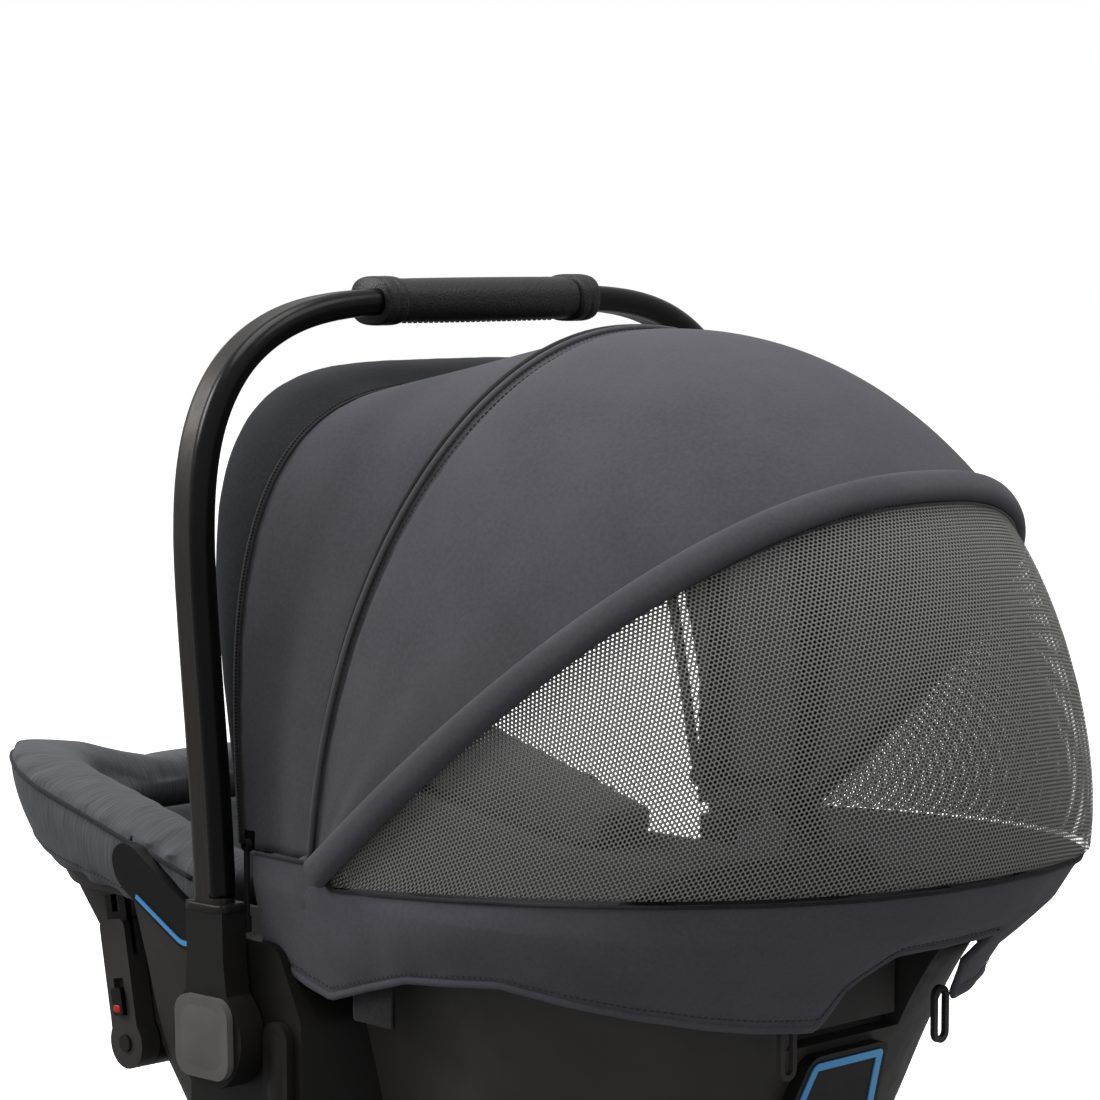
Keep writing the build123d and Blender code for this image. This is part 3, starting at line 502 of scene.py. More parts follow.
def areaLight(name, place, aimHeight, size, power):
    data = bpy.data.lights.new(name, "AREA")
    data.shape, data.size, data.energy = "DISK", size, power
    lamp = bpy.data.objects.new(name, data)
    lamp.location = place
    lamp.rotation_euler = (Vector((0, 0, aimHeight)) - Vector(place)).to_track_quat("-Z", "Y").to_euler()
    bpy.context.scene.collection.objects.link(lamp)


def makeStage():
    world = bpy.data.worlds.new("softbox")
    world.use_nodes = True
    world.node_tree.nodes["Background"].inputs["Color"].default_value = (1, 1, 1, 1)
    # the room is bright overhead and dim below, and plain white where the camera sees it
    tree = world.node_tree
    way = addNode(tree, "ShaderNodeTexCoord").outputs["Generated"]
    height = addNode(tree, "ShaderNodeSeparateXYZ", links={0: way}).outputs["Z"]
    room = addNode(tree, "ShaderNodeMapRange", links={"Value": height},
                   values={"From Min": -0.3, "From Max": 0.7, "To Min": 0.36, "To Max": 0.8}).outputs[0]
    seen = addNode(tree, "ShaderNodeLightPath").outputs["Is Camera Ray"]
    strength = addNode(tree, "ShaderNodeMapRange", values={"To Max": 1.0},
                       links={"Value": seen, "To Min": room})
    tree.links.new(strength.outputs[0], tree.nodes["Background"].inputs["Strength"])
    bpy.context.scene.world = world
    bpy.context.scene.view_settings.view_transform = "Standard"
    for name, lamp in lights.items():
        areaLight(name, *lamp)
    # backdrop paper: very pale, rough, with a barely visible tooth
    material, tree, shader, coordinates = startMaterial(
        "backdropPaper", "#fbfbfb", roughness=0.9, specular=0.1)
    shader.inputs["Emission Color"].default_value = srgb("#ffffff")
    shader.inputs["Emission Strength"].default_value = 0.55
    twoTone(tree, shader, noise(tree, coordinates["Object"], 60, 3), 0.3, 0.7, "#fafafa", "#fdfdfd")
    corners = np.array([[-9, -9, 0], [9, -9, 0], [9, 9, 0], [-9, 9, 0]], float)
    floor = addObject("floor", corners, [[0, 1, 2, 3]], material)
    floor.visible_diffuse = floor.visible_glossy = False


makeCamera()
makeStage()


print("canopy")

archKeys = ("origin", "base", "angle", "half", "height", "power", "bulge")


def arch(*values):
    return dict(zip(archKeys, values))


# each arch stands on an axis that lies origin behind the hub and base above the floor, leans back by
# its angle, is a superellipse of this half width, height and power, and bows forward by bulge
canopy = {
    "front": arch(4, pivotZ, 0, 184, 256, 4.0, 7),
    "frontMiddle": arch(34, pivotZ, 4, 186, 272, 3.0, 8),
    "mid": arch(64, pivotZ, 10, 187.5, 290.5, 2.2, 9),
    "crest": arch(64, pivotZ, 29, 189.6, 315, 2.3, 3),
    "rear": arch(64, pivotZ, 49.2, 190.2, 328, 2.4, 0),
    "net": arch(64, pivotZ, 68, 190, 331, 2.4, 0),
    "ring": arch(64, pivotZ, 85.6, 190, 318, 2.4, 0),
    "visorBack": arch(4, pivotZ, -0.4, 183, 255.5, 4.0, 7),
    "visorFront": arch(4, pivotZ + 12, -11, 182, 260, 4.0, 3),
    "cloth": 2.2, "start": 13,
}


def archGrid(sections, phi, s):
    # superellipse arches in planes that turn about an axis along X; what describes them runs smoothly
    # from section to section with s, and phi goes round each arch from one foot to the other
    given = np.array([[section[k] for k in archKeys] for section in sections], float)
    knots = np.linspace(0, 1, len(sections))
    weights = [np.prod([(s - b) / (a - b) for b in knots if b != a], axis=0) for a in knots]
    origin, base, angle, half, height, power, bulge = (sum(w * given[i, k] for i, w in enumerate(weights))
                                                       for k in range(len(archKeys)))
    across, up = superellipse(phi, power)
    x, r = half * across, height * up
    lean = np.radians(angle)
    forward = bulge * np.sin(pi * np.clip(r / height, 0, 1))
    return np.stack([x, origin + r * np.sin(lean) - forward, base + r * np.cos(lean)], -1)


def panelGrid(sections, rows, columns, start=None):
    start = canopy["start"] if start is None else start
    first = atan2(start, sections[-1]["height"])
    phi = np.linspace(first, pi - first, columns)[None, :]
    s = np.linspace(0, 1, rows)[:, None]
    phi, s = np.broadcast_arrays(phi, s)
    return archGrid(sections, phi, s), phi, s


def pushOut(grid, amount):
    # moves the grid along its normals, away from the inside of the canopy
    normals = gridNormals(grid)
    centre = np.array([0, pivotBack + 40, pivotZ - 40])
    outward = np.sign(((grid - centre) * normals).sum(-1, keepdims=True))
    return grid + normals * outward * np.asarray(amount)[..., None]


def clothPiece(name, grid, look, thickness=None):
    thickness = canopy["cloth"] if thickness is None else thickness
    metres = toFrame(grid)
    centre = toFrame([0, pivotBack + 40, pivotZ - 40])
    middle = metres[metres.shape[0] // 2, metres.shape[1] // 2]
    normal = gridNormals(metres)[metres.shape[0] // 2, metres.shape[1] // 2]
    return slab(name, metres, thickness * mm, looks[look], flip=bool(((middle - centre) * normal).sum() < 0))


def seamFolds(phi, s, depth, edges=(0, 1)):
    # puckers that run off a sewn edge and die out across the panel, stronger low down on each side
    side = 0.35 + 0.65 * np.abs(np.cos(phi)) ** 2
    wave = np.sin(phi * 61) * 0.5 + np.sin(phi * 97 + 1.3) * 0.35 + np.sin(phi * 29 + 0.4) * 0.5
    near = sum(np.exp(-((s - e) / 0.12) ** 2) for e in edges)
    return depth * wave * near * side


def longFolds(phi, s, depth):
    # a few slack folds that fan out of the pivots, as pulled cloth has
    side = smoothStep(np.abs(np.cos(phi)), 0.45, 0.98)
    wave = np.sin(s * pi * 2.6 + 0.6 + 1.5 * np.cos(phi)) + 0.5 * np.sin(s * pi * 5.3 + 2.1 * np.cos(phi) ** 2)
    return depth * wave * side * np.sin(pi * np.clip(s, 0, 1)) ** 0.7


def makeCanopyPanels():
    cut = canopy
    grid, phi, s = panelGrid([cut["mid"], cut["crest"], cut["rear"]], 56, 170)
    lift = (1.7 * np.exp(-((s) / 0.022) ** 2) + seamFolds(phi, s, 0.22, (0.03, 0.97)) + longFolds(phi, s, 0.55)
            - 0.9 * np.exp(-((s - 0.05) / 0.012) ** 2))
    main = clothPiece("canopyMain", pushOut(grid, lift), "canopy")
    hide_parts("main_panel")
    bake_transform(main)

    grid, phi, s = panelGrid([cut["front"], cut["frontMiddle"], cut["mid"]], 34, 170)
    lift = seamFolds(phi, s, 0.3, (0.02, 0.98)) + longFolds(phi, s, 0.6) - 1.2 * np.sin(pi * s) ** 2
    lift = lift - 0.8 * smoothStep(s, 0.9, 1.0)
    front = clothPiece("canopyFront", pushOut(grid, lift), "canopy")
    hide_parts("front_panel")
    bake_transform(front)

    grid, phi, s = panelGrid([cut["visorBack"], cut["visorFront"]], 18, 170, 22)
    puff = 2.4 * np.sin(pi * s) ** 0.8 + seamFolds(phi, s, 0.25, (0.03, 0.97))
    visor = clothPiece("visorCloth", pushOut(grid, puff), "visor", 3.0)
    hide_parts("visor")
    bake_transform(visor)

    grid, phi, s = panelGrid([cut["rear"], cut["net"], cut["ring"]], 60, 170)
    net = clothPiece("rearNet", pushOut(grid, -0.8 - 2.5 * np.sin(pi * s) ** 2 * np.sin(phi) ** 2), "net", 0.7)
    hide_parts("mesh_panel")
    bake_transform(net)


def archPath(section, lift=0.0, start=6, count=150, shift=0.0):
    # middle line of an arch, raised off it by lift, and the direction out of its plane
    cut = dict(section)
    cut["half"], cut["height"] = cut["half"] + lift, cut["height"] + lift
    cut["angle"] = cut["angle"] + shift
    first = atan2(start, cut["height"])
    phi = np.linspace(first, pi - first, count)
    grid = archGrid([cut, cut], phi, np.zeros(count))
    lean = radians(cut["angle"])
    return toFrame(grid), np.array([0, cos(lean), -sin(lean)])


def archOutward(path, aside):
    tangent = unit(np.gradient(path, axis=0))
    out = np.cross(tangent, np.broadcast_to(aside, path.shape))
    centre = toFrame([0, pivotBack, pivotZ])
    return out * np.sign(((path - centre) * out).sum(-1, keepdims=True))


def makeCanopySeams():
    # rolled edge and piping where the main panel meets the front one, with the stitched line behind it
    path, aside = archPath(canopy["mid"], 1.7, 4, shift=-0.6)
    piping = sweep("midPiping", path, aside, roundProfile(3.4 * mm, 3.8 * mm, 2, 12), looks["piping"])
    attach(piping, "mid_frame")
    path, aside = archPath(canopy["mid"], 2.6, 14, shift=0.55)
    roll = sweep("midRoll", path, aside, roundProfile(3.2 * mm, 3.6 * mm, 2.2, 10), looks["canopy"])
    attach(roll, "mid_frame")
    rows = []
    for shift, lift in ((1.3, 2.3), (1.95, 1.7)):
        path, aside = archPath(canopy["mid"], lift, 20, shift=shift)
        rows.append(stitches("row", path, archOutward(path, aside), 0.5 * mm, 3.1 * mm, (2.3 * mm, 0.7 * mm),
                             looks["piping"]))
    seam = joinPieces("midStitches", rows)
    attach(seam, "mid_frame")
    # padded binding over the rear bow, with a flat seam on each side
    path, aside = archPath(canopy["rear"], 3.2, 12, shift=0.9)
    band = sweep("rearBand", path, aside, roundProfile(11 * mm, 17 * mm, 2.3, 24), looks["canopy"])
    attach(band, "rear_frame")
    for name, shift, lift in (("bandSeamFront", -0.75, 2.2), ("bandSeamRear", 2.55, 0.6)):
        path, aside = archPath(canopy["rear"], lift, 12, shift=shift)
        line = sweep(name, path, aside, roundProfile(1.5 * mm, 1.5 * mm, 2, 8), looks["thread"])
        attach(line, "rear_frame")
    # zip along the front seam: a dark tape with two rows of teeth
    path, aside = archPath(canopy["front"], 0.9, 14, shift=0.4)
    tape = sweep("zipTape", path, aside, roundProfile(1.2 * mm, 5.0 * mm, 5, 12), looks["piping"])
    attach(tape, "front_frame")
    teeth = stitches("zipTeeth", path, archOutward(path, aside), 0.7 * mm, 1.9 * mm, (1.25 * mm, 1.5 * mm),
                     looks["rubber"])
    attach(teeth, "front_frame")


pivotTab = {"radius": 15.5, "rise": 2.8, "rimX": 188.8, "backX": 188.0, "around": 48, "rings": 14}


def makePivotTabs():
    # rounded cloth tabs over the canopy's pivots: flat discs whose faces fall off towards the rim
    around = pivotTab["around"]
    tabs = []
    for side in (-1, 1):
        phi, rho = np.meshgrid(np.linspace(0, 2 * pi, around, endpoint=False),
                               np.linspace(0.02, 1, pivotTab["rings"]), indexing="ij")
        rise = pivotTab["rise"] * np.sqrt(np.clip(1 - rho ** 3, 0, 1))
        out = pivotTab["radius"] * rho
        grid = np.stack([side * (pivotTab["rimX"] + rise), pivotBack + out * np.cos(phi),
                         pivotZ + out * np.sin(phi)], -1)
        back = grid.copy()
        back[..., 0] = side * pivotTab["backX"]
        closed = np.concatenate([grid, back[:, ::-1]], axis=1)
        faces = gridFaces(*closed.shape[:2], closeRows=True).tolist()
        last = closed.shape[1]
        faces.append([i * last for i in range(around)])
        faces.append([i * last + last - 1 for i in range(around)][::-1])
        tabs.append(faceOutwards(addObject(f"tab{side}", toFrame(closed), faces, looks["canopy"])))
    tab = joinPieces("pivotTabs", tabs)
    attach(tab, "rear_frame")


makeCanopyPanels()
makeCanopySeams()
makePivotTabs()


print("apron")

apron = {
    "levels": ((212, 178, 228), (252, 185.6, 250), (282, 191, 288), (316, 191.4, 319)),
    "front": 20, "power": 2.4, "cloth": 2.4, "notchHalf": 50, "notchTop": 272,
    "top": ((18, 300), (66, 300), (84, 288), (384, 308.5)),
    "hem": ((18, 246), (40, 240), (56, 233), (72, 229), (100, 238), (130, 247), (190, 252), (262, 238),
            (300, 228), (400, 226)),
}


def apronGrid(rows, columns, lift=0.0):
    # two straight sides joined by half a superellipse, whose half width and reach change with height
    heights, halves, reaches = (np.array(v, float) for v in zip(*apron["levels"]))
    u = np.linspace(-1, 1, columns)[None, :]
    v = np.linspace(0, 1, rows)[:, None]
    u, v = np.broadcast_arrays(u, v)
    straight = 0.085
    share = np.clip((1 - np.abs(u) - straight) / (1 - straight), 0, 1)
    across, back = superellipse(share * pi / 2, apron["power"])
    z = np.full_like(u, 270.0)
    topY, topZ = np.array(apron["top"], float).T
    hemY, hemZ = np.array(apron["hem"], float).T
    for step in range(6):
        half, reach = np.interp(z, heights, halves), np.interp(z, heights, reaches)
        half, reach = half + lift, reach + lift
        x = np.sign(u) * half * across
        y = pivotBack + reach * back
        ahead = np.clip((np.abs(u) - (1 - straight)) / straight, 0, 1)
        y = y - ahead * (pivotBack - apron["front"])
        top, hem = np.interp(y, topY, topZ), np.interp(y, hemY, hemZ)
        notch = (1 - smoothStep(np.abs(x), apron["notchHalf"] - 12, apron["notchHalf"] + 6)) * (y > 200)
        hem = hem + (apron["notchTop"] - hem) * notch
        z = hem + (top - hem) * v
    return np.stack([x, y, z], -1), u, v


def makeApron():
    grid, u, v = apronGrid(40, 240)
    belly = 3.2 * np.sin(pi * np.clip(v, 0, 1)) ** 1.2 * (1 - smoothStep(np.abs(u), 0.88, 0.96))
    side = np.abs(u)
    crease = -2.2 * np.exp(-((side - 0.78 - 0.06 * v) / 0.018) ** 2) * smoothStep(v, 0.05, 0.5)
    ripple = 0.5 * np.sin(u * 74) * np.exp(-((v - 0.04) / 0.1) ** 2) + 0.4 * np.sin(u * 53 + 0.7) * (
        np.exp(-((v - 0.97) / 0.08) ** 2))
    slack = 0.8 * np.sin(u * 17 + 2.2 * v) * np.sin(pi * v)
    out = unit(grid * np.array([1, 1, 0]) - np.array([0, pivotBack, 0]))
    grid = grid + out * (belly + crease + ripple + slack)[..., None]
    metres = toFrame(grid)
    cloth = slab("apronCloth", metres, apron["cloth"] * mm, looks["apron"], flip=False)
    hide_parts("apron")
    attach(cloth, "seat")
    hemPath = metres[0]
    binding = sweep("apronHem", hemPath, (0, 0, 1), roundProfile(3.6 * mm, 4.4 * mm, 2.4, 12), looks["apron"])
    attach(binding, "seat")
    outs = unit(metres - toFrame([0, pivotBack, pivotZ]) * np.array([1, 1, 0])) * np.array([1, 1, 0])
    row = 3
    seam = stitches("apronStitches", metres[row], unit(outs[row]), 0.5 * mm, 3.4 * mm, (2.5 * mm, 0.65 * mm),
                    looks["thread"])
    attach(seam, "seat")
    # dark cord along the apron's top edge: the seam where the net meets it, its dark colour a painted shadow
    # along that join
    top = sweep("apronTopSeamAndShadow", metres[-1], (0, 0, 1), roundProfile(2.6 * mm, 2.2 * mm, 2, 10),
                looks["piping"])
    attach(top, "seat")


makeApron()


print("padding")

pads = {
    "leg_bolster": {"name": "footBolster", "look": "heather", "voxel": 5, "pressure": 4.0, "cap": 5,
                    "smooth": 6},
    "head_support": {"name": "headPillow", "look": "lining", "voxel": 4, "pressure": 4.0, "cap": 5,
                     "smooth": 8},
    "harness_pads": {"name": "harnessSleeves", "look": "webbing", "voxel": 4, "pressure": 3.0, "cap": 2,
                     "smooth": 4},
}
bolsterSeams = {"centre": (0, -120), "upper": (276, -34, 330, -251), "margin": 9, "dip": 27}


def meshFromModifiers(piece):
    graph = bpy.context.evaluated_depsgraph_get()
    return bpy.data.meshes.new_from_object(piece.evaluated_get(graph))


def readPoints(mesh):
    points = np.zeros(len(mesh.vertices) * 3)
    mesh.vertices.foreach_get("co", points)
    return points.reshape(-1, 3)


def remeshed(name, node, look, voxel, smoothing):
    # even, closed skin of a soft solid, with its corners rounded off
    work = bmesh.new()
    work.from_mesh(frame["nodes"][node].data)
    bmesh.ops.remove_doubles(work, verts=work.verts, dist=1e-6)
    mesh = bpy.data.meshes.new(name)
    work.to_mesh(mesh)
    work.free()
    piece = bpy.data.objects.new(name, mesh)
    bpy.context.scene.collection.objects.link(piece)
    grid = piece.modifiers.new("even", "REMESH")
    grid.mode, grid.voxel_size = "VOXEL", voxel * mm
    soften = piece.modifiers.new("soften", "SMOOTH")
    soften.factor, soften.iterations = 0.5, smoothing
    piece.data = meshFromModifiers(piece)
    piece.modifiers.clear()
    piece.data.materials.clear()
    piece.data.materials.append(looks[look])
    piece.data.polygons.foreach_set("use_smooth", np.ones(len(piece.data.polygons), bool))
    return piece


def inflate(piece, pressure, cap):
    # blows the skin up as cloth, then limits how far any point has moved
    start = readPoints(piece.data)
    cloth = piece.modifiers.new("cloth", "CLOTH")
    cloth.settings.use_pressure = True
    cloth.settings.uniform_pressure_force = pressure
    cloth.settings.effector_weights.gravity = 0
    cloth.settings.quality = 5
    cloth.settings.mass = 0.3
    cloth.collision_settings.use_collision = False
    for step in range(1, 21):
        bpy.context.scene.frame_set(step)
    graph = bpy.context.evaluated_depsgraph_get()
    moved = readPoints(piece.evaluated_get(graph).data) - start
    piece.modifiers.clear()
    bpy.context.scene.frame_set(1)
    length = np.linalg.norm(moved, axis=1, keepdims=True)
    moved = moved * np.minimum(1, cap * mm / np.maximum(length, 1e-9))
    piece.data.vertices.foreach_set("co", (start + moved).ravel())
    piece.data.update()


def subdivide(piece, levels=1):
    fine = piece.modifiers.new("fine", "SUBSURF")
    fine.levels = fine.render_levels = levels


def footDip(x, y):
    return bolsterSeams["dip"] * (1 - smoothStep(np.abs(x), 40, 165)) * (1 - smoothStep(y, -210, -110))


def ringUvs(mesh, centre, radius):
    # first coordinate runs round the ring at its mean radius, the second up it
    points = readPoints(mesh)
    corners = np.zeros(len(mesh.loops), int)
    mesh.loops.foreach_get("vertex_index", corners)
    x, y, z = points[corners].T
    turn = np.arctan2(-x, y - (centre[1] + hubY) * mm) * radius * mm
    across = np.hypot(x, y - (centre[1] + hubY) * mm)
    layer = mesh.uv_layers.new(name="UVMap")
    layer.data.foreach_set("uv", np.stack([turn, z + across], 1).ravel())


def dipFootEnd(piece):
    # the rim sinks in a smooth curve towards the middle of the foot end, where the legs lie over it
    points = readPoints(piece.data)
    x, y, z = points[:, 0] / mm, points[:, 1] / mm - hubY, points[:, 2] / mm
    points[:, 2] -= footDip(x, y) * smoothStep(z, 282, 326) * mm
    piece.data.vertices.foreach_set("co", points.ravel())
    piece.data.update()


def makePads():
    made = {}
    for node, pad in pads.items():
        piece = remeshed(pad["name"], node, pad["look"], pad["voxel"], pad["smooth"])
        if node == "leg_bolster":
            dipFootEnd(piece)
        inflate(piece, pad["pressure"], pad["cap"])
        if node == "leg_bolster":
            ringUvs(piece.data, bolsterSeams["centre"], 180)
        subdivide(piece)
        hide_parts(node)
        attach(piece, "seat")
        made[node] = piece
        print(pad["name"], len(piece.data.vertices))
    return made


def makeSeatPad():
    # quilted lining: sewn channels every 38 mm down the seat, and a middle seam, sunk into the soft face
    piece = remeshed("seatLining", "seat_pad", "lining", 4, 4)
    points = readPoints(piece.data)
    normals = np.zeros(len(points) * 3)
    piece.data.vertices.foreach_get("normal", normals)
    normals = normals.reshape(-1, 3)
    y, z, x = points[:, 1] / mm - hubY, points[:, 2] / mm, points[:, 0] / mm
    inward = smoothStep(-(normals * unit(points - toFrame([0, 40, 330]))).sum(1), 0.2, 0.7)
    channel = ((y + 0.6 * z) / 38) % 1
    sunk = -2.2 * np.exp(-((channel - 0.5) / 0.07) ** 2) + 1.0 * np.sin(pi * np.abs(channel - 0.5) * 2)
    middle = -1.8 * np.exp(-((np.abs(x) - 62) / 3.2) ** 2)
    lift = inward * (sunk * (np.abs(x) < 62) + middle)
    piece.data.vertices.foreach_set("co", (points + normals * (lift * mm)[:, None]).ravel())
    piece.data.update()
    subdivide(piece)
    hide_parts("seat_pad")
    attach(piece, "seat")


def outerPath(piece, centre, angles, heights, lift=0.0):
    # points where level rays, coming in from all round, first meet the piece
    graph = bpy.context.evaluated_depsgraph_get()
    tree = BVHTree.FromObject(piece, graph)
    found = []
    for angle, height in zip(angles, heights):
        way = Vector((cos(angle), sin(angle), 0))
        x, y = 150 * way.x, centre[1] + 150 * way.y
        for step in range(5):
            level = height(x, y) if callable(height) else height
            origin = Vector(toFrame([centre[0], centre[1], level])) + way * 0.5
            hit = tree.ray_cast(origin, -way)[0]
            if hit is None:
                break
            x, y = hit.x / mm, hit.y / mm - hubY
        if hit is not None and hypot(x - centre[0], y - centre[1]) > 95:
            found.append(np.array(hit) + np.array(way) * lift * mm)
    return np.array(found)


def smoothPath(points, rounds=3):
    points = points.copy()
    for step in range(rounds):
        points[1:-1] = (points[:-2] + 2 * points[1:-1] + points[2:]) / 4
    return points


def makeBolsterSeams(bolster):
    # piping below the bolster's top edge, a second seam near its lower edge, and two cross seams
    z0, y0, z1, y1 = bolsterSeams["upper"]
    centre = (*bolsterSeams["centre"], 0)
    angles = np.linspace(radians(20), radians(-200), 150)

    def upper(x, y):
        return float(np.interp(y, [y1, y0], [z1, z0])) - bolsterSeams["margin"] - float(footDip(x, y))

    def lower(x, y):
        return float(np.interp(y, [y1, y0], [278, 246]))

    path = smoothPath(outerPath(bolster, centre, angles, [upper] * len(angles), 0.3))
    piping = sweep("bolsterPiping", path, (0, 0, 1), roundProfile(3 * mm, 3 * mm, 2, 10), looks["piping"])
    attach(piping, "seat")
    path = smoothPath(outerPath(bolster, centre, angles, [lower] * len(angles), 0.1))
    seam = stitches("bolsterStitches", path, unit(path - toFrame([0, -120, 270])), 0.3 * mm, 3.4 * mm,
                    (2.4 * mm, 0.8 * mm), looks["thread"])
    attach(seam, "seat")
    crosses = []
    for angle in (radians(3), radians(177)):
        levels = list(np.linspace(248, 290, 24))
        path = smoothPath(outerPath(bolster, centre, [angle] * 24, levels, 0.1), 2)
        crosses.append(sweep("cross", path, (0, 1, 0), roundProfile(2 * mm, 2 * mm, 2, 8), looks["piping"]))
    cross = joinPieces("bolsterCrossSeams", crosses)
    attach(cross, "seat")


padPieces = makePads()
makeSeatPad()
makeBolsterSeams(padPieces["leg_bolster"])


print("harness")

harness = {"backLow": (20, 122), "backHigh": (250, 262), "frontHigh": (-200, 212), "frontLow": (-150, 150),
           "pad": 14, "lift": 6, "shoulderX": 36, "shoulderWidth": 34, "thickness": 2.2}


def seatPlane(low, high, useMiddle=False):
    # origin on the padded face, the direction up or down it, and the direction that stands off it
    (y0, z0), (y1, z1) = low, high
    run = unit(np.array([0, y1 - y0, z1 - z0], float))
    normal = np.array([0, -run[2], run[1]])
    start = np.array([0, (y0 + y1) / 2, (z0 + z1) / 2]) if useMiddle else np.array([0, y0, z0], float)
    return start + normal * harness["pad"], run, normal


def strapPath(plane, points, count=60):
    # x, distance along the face and height off it, rounded where the strap turns
    origin, run, normal = plane
    points = np.array(points, float)
    at = np.insert(np.cumsum(np.linalg.norm(np.diff(points, axis=0), axis=1)), 0, 0)
    fine = np.linspace(0, at[-1], count)
    p = np.stack([np.interp(fine, at, points[:, i]) for i in range(3)], -1)
    p = smoothPath(p, 12)
    return toFrame(origin + np.array([1.0, 0, 0]) * p[:, :1] + run * p[:, 1:2] + normal * p[:, 2:])


def webbing(name, node, straps):
    pieces = []
    for path, reference, width in straps:
        tangent = unit(np.gradient(path, axis=0))
        up = np.cross(tangent, np.broadcast_to(reference, path.shape))
        pieces.append(sweep("strap", path, up, roundProfile(width * mm, harness["thickness"] * mm, 6, 20),
                            looks["webbing"]))
    piece = joinPieces(name, pieces)
    piece.data.polygons.foreach_set("use_smooth", np.ones(len(piece.data.polygons), bool))
    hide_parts(node)
    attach(piece, "seat")
    return piece


def makeStraps():
    back = seatPlane(harness["backLow"], harness["backHigh"])
    front = seatPlane(harness["frontHigh"], harness["frontLow"], True)
    lift, x = harness["lift"], harness["shoulderX"]
    shoulders = [(strapPath(back, [(s * x, 68, lift), (s * x, 208, lift), (s * x, 213, -10)]), (1, 0, 0),
                  harness["shoulderWidth"]) for s in (-1, 1)]
    laps = [(strapPath(back, [(s * 34.5, 45, lift), (s * 70, 45, lift + 0.6), (s * 101, 45, lift)]),
             back[1], 30) for s in (-1, 1)]
    crotch = [(strapPath(back, [(0, -5, -42), (0, -5, lift - 1), (0, 17.5, lift)]), (1, 0, 0), 26)]
    tail = [(strapPath(front, [(0, 8.5, 4), (0, 37.5, 4)]), (1, 0, 0), 25)]
    webbing("shoulderWebbing", "shoulder_straps", shoulders)
    webbing("lapWebbing", "lap_straps", laps)
    webbing("crotchWebbing", "crotch_strap", crotch)
    webbing("adjusterWebbing", "adjuster_strap", tail)


makeStraps()


print("handle")

handle = {"legX": 199.5, "footZ": 250, "topZ": 591, "lean": 1.5, "tubeWidth": 25, "inlayWidth": 15,
          "inlayDepth": 13, "inlayProud": 0.5, "legTopZ": 272, "legWidth": 31, "legThickness": 16}


def leaned(points):
    # turned about the hub axis to the handle's resting lean
    points = np.asarray(points, float)
    a = radians(handle["lean"])
    y, z = points[..., 1], points[..., 2] - hubZ
    return np.stack([points[..., 0], y * cos(a) - z * sin(a), hubZ + y * sin(a) + z * cos(a)], -1)


def smoothCurve(points, startWay, endWay, count):
    # clamped cubic spline through the points, spaced by the distances between them
    points = np.asarray(points, float)
    at = np.insert(np.cumsum(np.linalg.norm(np.diff(points, axis=0), axis=1)), 0, 0)
    h = np.diff(at)
    n = len(points)
    system, target = np.zeros((n, n)), np.zeros((n, points.shape[1]))
    system[0, 0] = system[-1, -1] = 1
    target[0], target[-1] = startWay, endWay
    i = np.arange(1, n - 1)
    system[i, i - 1], system[i, i], system[i, i + 1] = 1 / h[:-1], 2 / h[:-1] + 2 / h[1:], 1 / h[1:]
    slope = np.diff(points, axis=0) / h[:, None]
    target[1:-1] = 3 * (slope[:-1] / h[:-1, None] + slope[1:] / h[1:, None])
    ways = np.linalg.solve(system, target)
    t = np.linspace(0, at[-1], count)
    k = np.clip(np.searchsorted(at, t, side="right") - 1, 0, n - 2)
    u = ((t - at[k]) / h[k])[:, None]
    step = h[k][:, None]
    return (points[k] * (1 + 2 * u) * (1 - u) ** 2 + points[k + 1] * u ** 2 * (3 - 2 * u)
            + ways[k] * step * u * (1 - u) ** 2 - ways[k + 1] * step * u ** 2 * (1 - u))


def makeHandleTrim():
    # glossy black strip let into the rear face of the tube, from socket to grip and on to the other socket
    x, top = handle["legX"], handle["topZ"]
    side = [(x, handle["footZ"]), (x + 2, top - 261), (x + 7.5, top - 161), (x + 7, top - 101),
            (x - 1.5, top - 64), (x - 21.5, top - 33), (x - 57.5, top - 11), (x - 117.5, top - 1.5)]
    points = side + [(0, top)] + [(-px, pz) for px, pz in side[::-1]]
    curve = smoothCurve(points, (0, 1), (0, -1), 320)
    rear = handle["tubeWidth"] / 2
    middle = rear + handle["inlayProud"] - handle["inlayDepth"] / 2
    path = np.stack([curve[:, 0], np.full(len(curve), middle), curve[:, 1]], -1)
    path = path[curve[:, 1] > handle["legTopZ"] + 1]
    inlay = sweep("handleInlay", toFrame(leaned(path)), (0, 1, 0),
                  roundProfile(handle["inlayWidth"] * mm, handle["inlayDepth"] * mm, 2.15, 32),
                  looks["glossTrim"])
    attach(inlay, "handle")
    collars = []
    for s in (-1, 1):
        around = roundProfile(handle["legThickness"] + 0.6, handle["legWidth"] + 0.6, 7, 72)
        ring = np.stack([s * x + around[:, 0], around[:, 1], np.full(72, handle["legTopZ"] - 2.5)], -1)
        collars.append(sweep("collar", toFrame(leaned(ring)), (0, 0, 1),
                             roundProfile(1.8 * mm, 4.5 * mm, 3, 12), looks["leg"], closed=True))
    collar = joinPieces("socketCollars", collars)
    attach(collar, "handle")


def sleeve(name, x, girth, centre, depth, height, power, look):
    # rounded section carried across the seat, fuller or slimmer along its length
    section = roundProfile(depth, height, power, 48)
    grid = np.stack([np.broadcast_to(x[:, None], (len(x), 48)),
                     centre[0] + girth[:, None] * section[None, :, 0],
                     centre[1] + girth[:, None] * section[None, :, 1]], -1)
    faces = gridFaces(len(x), 48, closeColumns=True).tolist()
    faces += [list(range(48)), [(len(x) - 1) * 48 + i for i in range(48)]]
    return faceOutwards(addObject(name, grid * mm, faces, looks[look]))


